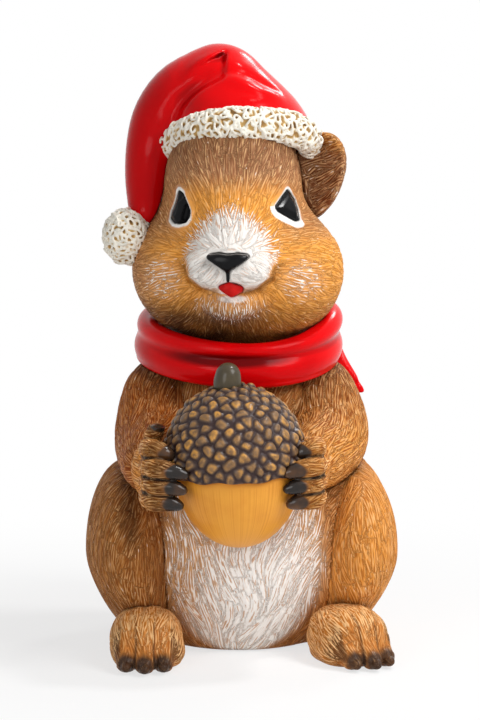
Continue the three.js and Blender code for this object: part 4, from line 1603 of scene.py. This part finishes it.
def paw_zones(side):
    """Paint of a paw: dark claws, and smudges on and between the fingers, stronger on the shaded right paw
    as painted shade.
    """
    fingers = list(finger_balls(side))
    levels = np.array([balls[6][2] for balls in fingers])

    def zones(p):
        gaps, shares = zip(*[along(p, [ball[:3] for ball in balls]) for balls in fingers])
        nearest = np.argmin(gaps, axis=0)
        share = np.choose(nearest, shares)
        apart = np.partition(gaps, 1, axis=0)[1] - np.min(gaps, axis=0)
        cleft = fade(apart, 1.8, 0.4) * fade(share, 0.0, 0.25)
        aside = np.abs(p[:, 2] - levels[nearest]) / FINGER_END
        claw = fade(share - 0.12 * np.minimum(aside, 1.2) ** 2, CLAW_SHARE - 0.14, CLAW_SHARE + 0.02)
        smudge = PAW_SMUDGE[side] * fade(share, 0.14, 0.5)
        return zone_set(p, dark=np.max([claw, cleft, smudge], axis=0), glow=0.5 * (1.0 - claw),
                        pale=0.6 * fade(share, 0.5, 0.2) * fade(apart, 0.8, 2.2), calm=claw)

    return zones


class SculptPaws(bpy.types.Operator):
    """Both front paws, with their fingers round the acorn"""

    bl_idname = "figurine.paws"
    bl_label = "Paws"

    def execute(self, context):
        look = context.scene.figurine_fur
        colours = coat_of(look, Shade=look.claw, Paint=look.tip)
        for seed, side in enumerate(SIDES, 51):
            flow = flow_along(list(finger_balls(side))[1])
            form = clear_of(meeting(paw_form(side), arm_form(side), 1.5), cap_form(), nut_form())
            zones = paw_zones(side)
            furry(f"{side}_paw", "paw_fur", form, flow, zones, colours, look, seed)
        return {"FINISHED"}


class SculptTail(bpy.types.Operator):
    """The tail behind the body"""

    bl_idname = "figurine.tail"
    bl_label = "Tail"

    def execute(self, context):
        look = context.scene.figurine_fur
        torso = torso_form()

        def zones(p):
            # Painted shade where the tail meets the torso
            return zone_set(p, dark=0.8 * closeness(torso, p, 4.0), pale=0.25)

        form = clear_of(tail_form(), *[haunch_form(side) for side in SIDES])
        flow = swirled(flow_along(tail_balls()), 0.25, 12.0)
        colours = coat_of(look, Paint=look.tip)
        furry("tail", "tail_fur", form, flow, zones, colours, look, 61)
        return {"FINISHED"}


# Half-width of the white muzzle at heights in the head's frame
MUZZLE_RISE = (-11.0, -8.5, -4.5, 1.0, 6.0, 9.0, 14.0, 19.0)
MUZZLE_WIDE = (-4.0, 8.0, 12.6, 14.4, 12.8, 10.8, 6.8, 1.0)


# White line under each eye: how it slopes, how far below the eye's middle it starts and how thick it is
UNDER_EYE = {"left": (0.45, 3.4, 1.5), "right": (0.1, 5.0, 0.4)}
RIM_REACH = 11.0


def eye_rims(q):
    """1 on the white line round each eye, thickest under the left eye, and 1 on the smooth lids."""
    rim, lids = np.zeros(len(q)), np.zeros(len(q))
    for side, sign in SIDES.items():
        e, outline = eye_plane(q, side)
        slope, below, thick = UNDER_EYE[side]
        beside = (length(q - EYE_AT * [sign, 1.0, 1.0]) < RIM_REACH) & (sign * q[:, 0] > 0.0)
        under = fade(e[:, 2] + slope * e[:, 0] + below, 0.6, -0.6)
        band = 0.45 + thick * under + 0.5 * fade(e[:, 2], 2.5, 5.0) + 0.25 * fade(e[:, 0], 0.0, -3.0)
        rim = np.maximum(rim, np.where(beside, fade(outline, band + 0.2, band - 0.2), 0.0))
        lids = np.maximum(lids, np.where(beside, fade(outline, 2.6, 1.6), 0.0))
    return rim, lids


def head_zones(p):
    """Paint of the head: white muzzle, warm cheeks, grey-brown brow and temples, and painted shade on the
    top of the brow, on the jaw over the scarf, beside the hat, brim and ear, and in the smile's crease.
    """
    q = to_head(p)
    x, y, z = q.T
    _, _, nose, tongue = face_parts(q)
    wide = np.abs(x)
    front = fade(y, -12.0, -22.0)
    inside = np.interp(z, MUZZLE_RISE, MUZZLE_WIDE) - wide
    loose = fade(z, -5.0, 5.0)
    muzzle = fade(inside, -0.3, 1.0 + 5.5 * loose) * fade(z, 18.0, 4.0) * front
    hairs = fade(inside, -0.5 - 5.5 * loose, 1.0 + 3.5 * loose) * fade(z, 23.0, 11.0) * front
    rim, lids = eye_rims(q)
    lip = fade(np.hypot((x - 1.0) / 4.6, (z + 11.2) / 1.2), 1.2, 0.7) * front
    cheek = fade(np.hypot((wide - 22.0) / 7.5, (z + 6.0) / 7.5), 1.3, 0.4) * fade(y, 2.0, -7.0)
    chin = fade(np.hypot(x / 12.0, (z + 14.5) / 6.0), 1.3, 0.5) * front
    pale = np.max([0.95 * hairs, 0.46 * cheek, 0.48 * chin], axis=0)
    smile = along(np.stack([wide, 0.0 * y, z], 1), SMILE)[0] + 9.0 * fade(y, -29.0, -24.0)
    # Painted shade: darker towards the top of the brow under the brim, and on the jaw above the scarf, most
    # on the shaded side
    brow = 0.4 * fade(z, 24.0, 34.0)
    jaw = fade(z, -9.0, -20.0) * np.interp(x, (-4.0, 12.0), (1.0, 0.6))
    # Painted shade beside the scarf, brim, hat and ear
    near = [0.95 * closeness(collar_form, p, 6.0), 0.7 * closeness(brim_base, p, 2.5),
            closeness(hat_form, p, 3.0), 0.8 * closeness(ear_form, p, 2.5)]
    head_shade = np.max([brow, jaw, *near], axis=0) * (1.0 - hairs)
    # Painted shade in the smile's crease and under the muzzle
    dark = np.max([head_shade, 0.6 * bell(smile, 0.9), 0.3 * bell(smile, 1.9) * (inside < 0.0)], axis=0)
    clean = 1.0 - 0.8 * bell(smile, 1.3)
    temple = fade(wide, 11.0, 20.0) * fade(z, 2.0, 12.0)
    glow = fade(z, 28.0, 18.0) * fade(x, -36.0, -20.0) * (1.0 - 0.75 * temple)
    white = np.max([0.92 * muzzle * clean, 0.9 * lip, rim, 0.08 * cheek, 0.06 * chin], axis=0)
    calm = np.maximum(lids, fade(np.minimum(nose, tongue), 1.2, 0.4))
    return zone_set(p, dark=dark, glow=glow, white=white, pale=pale * clean, calm=calm)


class SculptHead(bpy.types.Operator):
    """The head, brushed outward from the nose"""

    bl_idname = "figurine.head"
    bl_label = "Head"

    def execute(self, context):
        look = context.scene.figurine_fur
        flow = flow_from(from_head(NOSE_AT + [0.0, 6.0, -1.0]))
        form = clear_of(head_form, torso_form())
        colours = coat_of(look, Coat=look.brow, Depth=0.5)
        furry("head", "head_fur", form, flow, head_zones, colours, look, 71, 0.7, 0.6)
        return {"FINISHED"}


class SculptEar(bpy.types.Operator):
    """The ear that the hat leaves free"""

    bl_idname = "figurine.ear"
    bl_label = "Ear"

    def execute(self, context):
        look = context.scene.figurine_fur

        def zones(p):
            e = to_ear(p)
            cup = fade(oval(e[:, 0], e[:, 2], EAR_WIDE, EAR_TALL), -0.8, -3.5) * fade(e[:, 0], 6.0, -4.0)
            # A little dark paint all over, and painted shade in the ear's hollow and where it meets the head
            dark = np.maximum(0.2 + 0.45 * cup, 0.95 * closeness(head_form, p, 2.0))
            return zone_set(p, dark=dark, glow=0.6 * fade(e[:, 2], 6.0, 12.0), pale=0.12)

        def flow(p):
            return turn(steady(p, 1.0, -0.2, 0.4), HEAD_YAW, 2)

        form = clear_of(ear_form, head_form)
        colours = coat_of(look, Coat=look.brow)
        furry("left_ear", "head_fur", form, flow, zones, colours, look, 81, 0.75)
        return {"FINISHED"}


def brighter(colour, factor, lift=0.0):
    """A colour made lighter or darker by a factor."""
    return (*[min(1.0, factor * c + lift) for c in colour[:3]], 1.0)


def gloss_material(name, colour, roughness, shine):
    """Hard gloss paint with faint brush marks."""
    material, tree, shader, grain = grained_material(name, {"Specular IOR Level": shine}, 700.0, 300.0)
    shade = between(tree, grain["Mottle"], 0.35, 0.7)
    streaked = mix(tree, shade, colour, brighter(colour, 1.3, 0.002))
    span = (grain["Mottle"], roughness, roughness + 0.12)
    dressed(tree, shader, streaked, span, (grain["Height"], 0.05, 0.3))
    return material


class SculptFace(bpy.types.Operator):
    """Eyes, nose and tongue in gloss paint"""

    bl_idname = "figurine.face"
    bl_label = "Eyes, nose and tongue"

    def execute(self, context):
        look = context.scene.figurine_face
        black = gloss_material("gloss black", look.black, 0.14, 0.12)
        red = gloss_material("tongue red", look.tongue, 0.3, 0.06)
        for side in SIDES:
            shape = carved(f"{side}_eye", eye_form(side))
            make_piece(f"{side}_eye", "black_gloss", shape, 0.0, {}, black)
        features = (("nose", "black_gloss", 2, black), ("tongue", "tongue_red", 3, red))
        for node, slot, part, material in features:

            def form(p, part=part):
                return face_parts(to_head(p))[part]

            make_piece(node, slot, carved(node, form), 0.0, {}, material)
        return {"FINISHED"}


def lacquer_material(look):
    """Red lacquer with a thin clear coat. Deeper red in the folds and on the shaded side is painted shade,
    and random patches are wear.
    """
    shine = {"Specular IOR Level": 0.08, "Specular Tint": look.shine}
    clear = {"Coat Weight": 0.1, "Coat Roughness": 0.1}
    material, tree, shader, grain = grained_material("red lacquer", {**shine, **clear}, 500.0, 45.0)
    # Painted shade: the hollow value deepens the red in folds and on the shaded side; the mottle gives
    # random wear
    fold = between(tree, painted_value(tree, "hollow"), 0.05, 0.7)
    wear_and_shade = maths(tree, "MULTIPLY", between(tree, grain["Mottle"], 0.35, 0.75), 0.35)
    colour = mix(tree, maths(tree, "MAXIMUM", fold, wear_and_shade), look.red, look.deep)
    span = (grain["Mottle"], look.roughness, look.roughness + 0.1)
    dressed(tree, shader, colour, span, (grain["Height"], 0.04, 0.25))
    return material


def lacquer(look):
    """The lacquer that the hat and scarf share."""
    return bpy.data.materials.get("red lacquer") or lacquer_material(look)


class SculptHat(bpy.types.Operator):
    """The red cap of the hat, folded over to one side"""

    bl_idname = "figurine.hat"
    bl_label = "Hat"

    def execute(self, context):
        look = context.scene.figurine_lacquer
        shape = carved("hat_crown", clear_of(hat_form, head_form, ear_form))
        # Painted shade: deeper red on the hat's right side, which is in shade, and in its folds
        wear_and_shade = 0.32 * fade(to_head(shape.points)[:, 0], -10.0, -26.0)
        fold = np.maximum(0.8 * hollowness(shape, 4.0), wear_and_shade)
        make_piece("hat_crown", "hat_red", shape, 0.0, {"hollow": fold}, lacquer(look))
        return {"FINISHED"}


class SculptScarf(bpy.types.Operator):
    """The scarf round the neck and its end behind the shoulder"""

    bl_idname = "figurine.scarf"
    bl_label = "Scarf"

    def execute(self, context):
        look = context.scene.figurine_lacquer
        torso = torso_form()
        collar = clear_of(collar_form, torso, head_form)
        end = clear_of(scarf_end_form, torso, collar_form, arm_form("left"), haunch_form("left"))
        for node, form in (("scarf_collar", collar), ("scarf_end", end)):
            shape = carved(node, form)
            # Painted shade: deeper red in the creases, and in the wide valley of the collar
            fold = np.clip(1.5 * hollowness(shape, 3.5), 0.0, 1.0)
            if node == "scarf_collar":
                fold = np.maximum(fold, collar_paint(shape.points))
            make_piece(node, "scarf_red", shape, 0.0, {"hollow": fold}, lacquer(look))
        return {"FINISHED"}


# Turn from one point of an even spiral to the next
GOLDEN_ANGLE = math.pi * (3.0 - math.sqrt(5.0))


def even_directions(count):
    """Unit directions spread evenly by a spiral."""
    height = 1.0 - (2.0 * np.arange(count) + 1.0) / count
    angle = np.arange(count) * GOLDEN_ANGLE
    out = np.sqrt(1.0 - height**2)
    return np.stack([out * np.cos(angle), out * np.sin(angle), height], 1)


# Spacing of the curls in millimetres, and points along each
CURL_PITCH, CURL_POINTS = 1.9, 13


def curl_track(base, spot, normal, reach, strand, rng):
    """Points along one curl: a strand that bends one way and arches up from the base."""
    side = np.cross(normal, rng.normal(size=3))
    side /= np.linalg.norm(side)
    run = np.linspace(-0.5, 0.5, CURL_POINTS) * reach
    bend, sway = rng.choice((-1.0, 1.0)) * rng.uniform(0.5, 1.2), rng.uniform(0.0, 2.0 * math.pi)
    heading = bend * run + 0.5 * np.sin(1.7 * run + sway)
    ahead, aside = (np.cumsum(part(heading)) * (run[1] - run[0]) for part in (np.cos, np.sin))
    other = np.cross(normal, side)
    track = spot + np.outer(ahead - ahead.mean(), side) + np.outer(aside - aside.mean(), other)
    lift = strand * (0.1 + rng.uniform(0.3, 2.2) * np.cos(np.pi * run / reach))
    return track + (lift - base(track))[:, None] * outward(base, track)


# Room round the fleece and round each curl, the fillet between curls, and the distance given outside
FLEECE_SPARE, CURL_ROOM, CURL_FILLET, FLEECE_BEYOND = 2.5, 0.7, 0.25, 3.0


def curled(base, node, spots, look, seed):
    """A base form covered in short curls at spots on its surface."""
    rng = np.random.default_rng(seed)
    voxel = fineness(node)
    low, high = corners(node)
    low, high = low - FLEECE_SPARE, high + FLEECE_SPARE
    count = np.ceil((high - low) / voxel).astype(int)
    field = base(cell_middles(low, count, voxel)).reshape(count).astype(np.float32)
    strand = look.strand_radius / MM
    room = strand + CURL_ROOM
    for spot, normal in zip(spots, outward(base, spots)):
        track = curl_track(base, spot, normal, look.curl_length / MM, strand, rng)
        first = np.clip(((track.min(0) - room - low) / voxel).astype(int), 0, count)
        last = np.clip(((track.max(0) + room - low) / voxel).astype(int) + 1, 0, count)
        block = tuple(slice(a, b) for a, b in zip(first, last))
        inside = np.indices(last - first).reshape(3, -1).T + first
        gap = np.sqrt((((low + (inside + 0.5) * voxel)[:, None] - track) ** 2).sum(2).min(1)) - strand
        field[block] = smooth_min(field[block], gap.reshape(last - first), CURL_FILLET)
    points, quads = quads_over(field, low, voxel, FLEECE_BEYOND)
    return Carving(base, points, quads, outward(base, points), voxel)


def fleece_material(look):
    """Cream curls over an ochre wash."""
    shine = {"Specular IOR Level": 0.3}
    material, tree, shader, grain = grained_material("curly fleece", shine, 800.0, 220.0)
    uneven = between(tree, grain["Mottle"], 0.3, 0.7, -0.1, 0.1)
    height = maths(tree, "ADD", painted_value(tree, "height"), uneven)
    wash = mix(tree, between(tree, height, -0.08, 0.2), look.hole, look.ochre)
    colour = mix(tree, between(tree, height, 0.12, 0.55), wash, look.cream)
    dressed(tree, shader, colour, (grain["Mottle"], 0.5, 0.7), (grain["Height"], 0.1, 0.5))
    return material


# Angle that rows of curls cover round the brim's roll, in radians, and how far curls are out of line
CURLED_ARC, CURL_SHIFT = 4.4, 0.3


def brim_spots():
    """Places of the curls in rows along the brim."""
    tall, round_brim = CURLED_ARC * BRIM_TALL * BRIM_CORE, math.pi * (BRIM_RX + BRIM_RY)
    rows, columns = int(tall / CURL_PITCH), int(round_brim / CURL_PITCH)
    row, column = np.indices((rows, columns)).reshape(2, -1)
    rng = np.random.default_rng(91)
    shift = rng.uniform(-CURL_SHIFT, CURL_SHIFT, len(row))
    angle = 2 * math.pi * (column + 0.5 * (row % 2) + shift) / columns
    shift = rng.uniform(-CURL_SHIFT, CURL_SHIFT, len(row))
    tube = CURLED_ARC * ((row + 0.5 + shift) / rows - 0.5)
    reach, rise = BRIM_CORE * np.cos(tube), BRIM_TALL * BRIM_CORE * np.sin(tube)
    ring = np.stack([(BRIM_RX + reach) * np.cos(angle), (BRIM_RY + reach) * np.sin(angle), rise], 1)
    return from_ring(ring)


def bobble_spots():
    """Places of the curls on the bobble."""
    ways = even_directions(int(4 * math.pi * (POMPOM_RADII[1] / CURL_PITCH) ** 2))
    return from_head(POMPOM_AT + POMPOM_RADII * ways)


class SculptFleece(bpy.types.Operator):
    """The curly brim and bobble"""

    bl_idname = "figurine.fleece"
    bl_label = "Brim and bobble"

    def execute(self, context):
        look = context.scene.figurine_fleece
        material = fleece_material(look)
        brim, bobble = (brim_base, brim_spots(), 92), (pompom_base, bobble_spots(), 93)
        for node, (base, spots, seed) in {"hat_brim": brim, "hat_pompom": bobble}.items():
            shape = curled(base, node, spots, look, seed)
            make_piece(node, "fleece_white", shape, 0.0, {"height": base(shape.points)}, material)
        return {"FINISHED"}


# How far down the dome scales reach, as a share of its height, and how far they are out of line
SCALES_DOWN, SCALE_TURN, SCALE_SHIFT = 1.28, 0.03, 0.36
# Rounding of a scale's corners, waviness of its edges, and how many neighbours each point looks at
SCALE_ROUNDING, SCALE_WOBBLE, SCALE_NEAREST, SCALE_BATCH = 0.4, 0.3, 6, 8000


def scale_seeds(count, seed):
    """Places of the cap's scales: an even spiral over the dome, a little out of line."""
    rng = np.random.default_rng(seed)
    share = (np.arange(count) + 0.5) / count
    height = 1.0 - SCALES_DOWN * share
    angle = np.arange(count) * GOLDEN_ANGLE + rng.normal(0.0, SCALE_TURN, count)
    out = np.sqrt(np.clip(1.0 - height**2, 0.0, 1.0))
    rise = np.where(height > 0, CAP_TOP, CAP_BELOW) * height
    q = half("acorn_cap")[0] * np.stack([out * np.cos(angle), out * np.sin(angle), rise], 1)
    return q + rng.normal(0.0, SCALE_SHIFT, (count, 3))


def scale_edges(q, seeds):
    """How far each point lies inside its scale's rounded edge, and which scale it is on."""
    q = q + SCALE_WOBBLE * np.sin(1.6 * q[:, [1, 2, 0]] + 2.1)
    inside, which = np.zeros(len(q)), np.zeros(len(q), int)
    for part in np.array_split(np.arange(len(q)), len(q) // SCALE_BATCH + 1):
        gaps = ((q[part][:, None] - seeds) ** 2).sum(2)
        near = np.argpartition(gaps, SCALE_NEAREST, axis=1)[:, :SCALE_NEAREST]
        near = np.take_along_axis(near, np.take_along_axis(gaps, near, 1).argsort(1), 1)
        gaps = np.take_along_axis(gaps, near, 1)
        apart = np.linalg.norm(seeds[near[:, 1:]] - seeds[near[:, :1]], axis=2)
        edges = (gaps[:, 1:] - gaps[:, :1]) / (2.0 * apart)
        inside[part] = -SCALE_ROUNDING * np.log(np.exp(-edges / SCALE_ROUNDING).sum(1))
        which[part] = near[:, 0]
    return inside, which


class SculptAcorn(bpy.types.Operator):
    """The acorn's nut, scaly cap and stem"""

    bl_idname = "figurine.acorn"
    bl_label = "Acorn"

    def execute(self, context):
        look = context.scene.figurine_acorn
        nut, stem, cap = nut_form(), stem_form(), cap_form()
        shape = carved("acorn_nut", nut)
        # Painted shade on the nut under the cap's rim
        values = {"turn": acorn_angle(shape.points), "hollow": closeness(cap, shape.points, 1.3)}
        make_piece("acorn_nut", "nut_tan", shape, 0.0, values, nut_material(look))
        shape = carved("acorn_stem", stem)
        make_piece("acorn_stem", "stem_grey", shape, 0.0, {}, stem_material(look))
        shape = carved("acorn_cap", clear_of(cap, nut, stem))
        rng = np.random.default_rng(101)
        q = to_acorn(shape.points)
        inside, which = scale_edges(q, scale_seeds(look.scale_count, 102))
        heights, tones = rng.uniform(0.6, 1.15, look.scale_count), rng.random(look.scale_count)
        tall = np.sqrt(fade(inside, -0.1, 1.2))
        skirt = fade(q[:, 2], -1.9, -0.2)
        relief = look.scale_height / MM * (tall * heights[which] - 0.5) * skirt
        spot = fade(inside, 0.45, 0.8) * (1.0 - 0.6 * fade(inside, 0.95, 1.35))
        values = {"scale": spot, "tone": tones[which], "edge": fade(inside, 0.05, 0.65)}
        make_piece("acorn_cap", "cap_brown", shape, relief, values, cap_material(look))
        return {"FINISHED"}


def acorn_angle(p):
    """Millimetres round the nut, for its grain."""
    q = to_acorn(p)
    return np.arctan2(q[:, 0], -q[:, 1]) * half("acorn_nut")[0]


def coated(weight, roughness):
    """A plain shine under a clear coat."""
    return {"Specular IOR Level": 0.2, "Coat Weight": weight, "Coat Roughness": roughness}


def nut_material(look):
    """Honey paint with a fine upright grain, and painted shade under the cap's rim."""
    material, tree, shader, grain = grained_material("nut", coated(0.06, 0.2), 600.0, 70.0)
    upright = {"W": painted_value(tree, "turn"), "Scale": 1.6, "Detail": 4.0}
    lines = node_of(tree, "TexNoise", upright, noise_dimensions="1D").outputs[0]
    clouds = between(tree, grain["Mottle"], 0.4, 0.8, 0.0, 0.5)
    share = maths(tree, "ADD", between(tree, lines, 0.35, 0.75, 0.0, 0.4), clouds)
    # Painted shade: darker under the cap's rim
    share = maths(tree, "MAXIMUM", share, painted_value(tree, "hollow"))
    colour = mix(tree, share, look.nut, look.nut_dark)
    dressed(tree, shader, colour, (lines, 0.36, 0.5), (lines, 0.08, 0.5))
    return material


def stem_material(look):
    """Olive grey with lighter patches."""
    material, tree, shader, grain = grained_material("stem", coated(0.3, 0.12), 700.0, 260.0)
    patches = between(tree, grain["Mottle"], 0.45, 0.75, 0.0, 0.6)
    colour = mix(tree, patches, look.stem, brighter(look.stem, 1.6))
    dressed(tree, shader, colour, (grain["Mottle"], 0.35, 0.55), (grain["Height"], 0.15, 0.6))
    return material


def cap_material(look):
    """A dark network with ochre rubbed on the scales."""
    material, tree, shader, grain = grained_material("acorn cap", coated(0.15, 0.15), 900.0, 500.0)
    strength = between(tree, painted_value(tree, "tone"), 0.0, 1.0, 0.3, 1.0)
    rubbed = maths(tree, "MULTIPLY", painted_value(tree, "scale"), strength)
    rubbed = maths(tree, "MULTIPLY", rubbed, between(tree, grain["Mottle"], 0.35, 0.6, 0.2, 1.0))
    dusty = between(tree, grain["Mottle"], 0.3, 0.7, 0.55, 1.0)
    rise = maths(tree, "MULTIPLY", painted_value(tree, "edge"), dusty)
    brown = mix(tree, rise, look.network, look.slope)
    colour = mix(tree, rubbed, brown, look.scale)
    dressed(tree, shader, colour, (grain["Mottle"], 0.38, 0.55), (grain["Height"], 0.2, 0.7))
    return material


class FinishPlate(bpy.types.Operator):
    """Bare cast resin for the plate under the torso"""

    bl_idname = "figurine.plate"
    bl_label = "Base plate"

    def execute(self, context):
        shine = {"Specular IOR Level": 0.4}
        material, tree, shader, grain = grained_material("bare resin", shine, 500.0, 120.0)
        colour = mix(tree, grain["Mottle"], paint(226, 218, 202), paint(196, 186, 166))
        dressed(tree, shader, colour, (grain["Mottle"], 0.5, 0.7), (grain["Height"], 0.15, 0.6))
        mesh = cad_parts["base_plate"].data
        mesh.materials.clear()
        mesh.materials.append(material)
        return {"FINISHED"}


# What the camera and lamps point at, in metres
TARGET = Vector((0.0, -0.008, 0.0907))
# Azimuth and elevation of each lamp in degrees, and its distance and width in metres
LAMPS = {
    "key": (48.0, 36.0, 0.8, 0.45),
    "glint": (85.0, 64.0, 0.75, 0.12),
    "fill": (-30.0, 14.0, 0.85, 0.4),
    "edge": (146.0, 38.0, 0.8, 0.16),
}
SENSOR_WIDTH = 36.0
# Radius of the floor in metres, and its corners
FLOOR_RADIUS, FLOOR_CORNERS = 4.0, 96
# Distances from the figure between which the floor turns white to the camera, and how white it starts
WHITE_FROM, WHITE_TO, WHITE_NEAR = 0.06, 0.24, 0.7


class BuildStage(bpy.types.Operator):
    """Pale floor, soft lamps and the camera"""

    bl_idname = "figurine.stage"
    bl_label = "Stage"

    def execute(self, context):
        look = context.scene.figurine_stage
        context.scene.view_settings.view_transform = "Standard"
        make_floor(look)
        make_world(look)
        place_camera(context.scene, look)
        for name, place in LAMPS.items():
            place_lamp(name, getattr(look, f"{name}_power"), *place)
        return {"FINISHED"}


def direction(azimuth, elevation):
    """Unit vector from the figure, with azimuth 0 in front of it and growing to its left."""
    a, e = math.radians(azimuth), math.radians(elevation)
    return Vector((math.sin(a) * math.cos(e), -math.cos(a) * math.cos(e), math.sin(e)))


def aimed(name, data, azimuth, elevation, distance):
    """A lamp or camera that looks at the target from a direction."""
    holder = bpy.data.objects.new(name, data)
    way = direction(azimuth, elevation)
    holder.location = TARGET + distance * way
    holder.rotation_euler = way.to_track_quat("Z", "Y").to_euler()
    bpy.context.scene.collection.objects.link(holder)
    return holder


def place_lamp(name, power, azimuth, elevation, distance, size):
    """A soft round lamp."""
    light = bpy.data.lights.new(name, "AREA")
    light.shape, light.size, light.energy = "DISK", size, power
    aimed(name, light, azimuth, elevation, distance)


def place_camera(scene, look):
    """The camera at the photograph's viewing angle."""
    camera = bpy.data.cameras.new("camera")
    camera.lens, camera.sensor_width, camera.sensor_fit = look.lens, SENSOR_WIDTH, "AUTO"
    camera.dof.use_dof = False
    angles = math.degrees(look.azimuth), math.degrees(look.elevation)
    scene.camera = aimed("camera", camera, *angles, look.distance)


def seen_rays(tree):
    """1 for rays that show the background: from the camera, or by way of gloss or glass."""
    path = node_of(tree, "LightPath").outputs
    either = maths(tree, "MAXIMUM", path["Is Camera Ray"], path["Is Glossy Ray"])
    return maths(tree, "MAXIMUM", either, path["Is Transmission Ray"])


def make_world(look):
    """White to the camera and in reflections, and a little light from all round."""
    world = bpy.data.worlds.new("studio")
    world.use_nodes = True
    tree = world.node_tree
    tree.nodes.clear()
    strength = between(tree, seen_rays(tree), 0.0, 1.0, look.ambient, 1.0)
    glow = node_of(tree, "Background", {"Color": WHITE, "Strength": strength})
    tree.links.new(glow.outputs[0], node_of(tree, "OutputWorld").inputs["Surface"])
    bpy.context.scene.world = world


def make_floor(look):
    """A wide round floor, whitened for the camera but still taking the shadow."""
    mesh = bpy.data.meshes.new("floor")
    angles = [2 * math.pi * i / FLOOR_CORNERS for i in range(FLOOR_CORNERS)]
    rim = [(FLOOR_RADIUS * math.cos(angle), FLOOR_RADIUS * math.sin(angle), 0.0) for angle in angles]
    mesh.from_pydata(rim, [], [list(range(FLOOR_CORNERS))])
    matt = {"Roughness": 0.9, "Specular IOR Level": 0.0}
    material, tree, shader, grain = grained_material("pale floor", matt, 200.0, 6.0)
    colour = mix(tree, grain["Mottle"], look.floor, brighter(look.floor, 0.97))
    tree.links.new(colour, shader.inputs["Base Color"])
    white = node_of(tree, "Emission", {"Color": WHITE, "Strength": 1.0})
    where = node_of(tree, "TexCoord").outputs["Object"]
    far = node_of(tree, "VectorMath", {0: where}, operation="LENGTH").outputs["Value"]
    whiter = between(tree, far, WHITE_FROM, WHITE_TO, WHITE_NEAR, 1.0)
    share = maths(tree, "MULTIPLY", seen_rays(tree), whiter)
    both = node_of(tree, "MixShader", {0: share, 1: shader.outputs[0], 2: white.outputs[0]})
    drain = next(node for node in tree.nodes if node.type == "OUTPUT_MATERIAL")
    tree.links.new(both.outputs[0], drain.inputs["Surface"])
    mesh.materials.append(material)
    floor = bpy.data.objects.new("floor", mesh)
    bpy.context.scene.collection.objects.link(floor)


LOOKS = {
    "figurine_fur": FurLook,
    "figurine_lacquer": LacquerLook,
    "figurine_fleece": FleeceLook,
    "figurine_acorn": AcornLook,
    "figurine_face": FaceLook,
    "figurine_stage": StageLook,
}
PIECES = (
    SculptTorso, FinishPlate, SculptHaunches, SculptFeet, SculptArms, SculptPaws, SculptTail, SculptHead,
    SculptEar, SculptFace, SculptHat, SculptFleece, SculptScarf, SculptAcorn, BuildStage,
)


class FigurinePanel(bpy.types.Panel):
    """Sizes, colours and pieces of the figurine"""

    bl_idname = "VIEW3D_PT_figurine"
    bl_label = "Chipmunk figurine"
    bl_space_type = "VIEW_3D"
    bl_region_type = "UI"
    bl_category = "Figurine"

    def draw(self, context):
        for key, group in LOOKS.items():
            box = self.layout.box()
            for name in group.__annotations__:
                box.prop(getattr(context.scene, key), name)
        for piece in PIECES:
            self.layout.operator(piece.bl_idname)


def register():
    """Makes the properties, operators and panel known to Blender."""
    for group in LOOKS.values():
        bpy.utils.register_class(group)
    for key, group in LOOKS.items():
        setattr(bpy.types.Scene, key, PointerProperty(type=group))
    for piece in (*PIECES, FigurinePanel):
        bpy.utils.register_class(piece)


def unregister():
    """Takes them away again."""
    for piece in (FigurinePanel, *reversed(PIECES)):
        bpy.utils.unregister_class(piece)
    for key, group in LOOKS.items():
        delattr(bpy.types.Scene, key)
        bpy.utils.unregister_class(group)


def main():
    """Builds every piece in order."""
    register()
    for piece in PIECES:
        group, name = piece.bl_idname.split(".")
        getattr(getattr(bpy.ops, group), name)()
    bpy.context.view_layer.update()


if __name__ == "__main__":
    main()
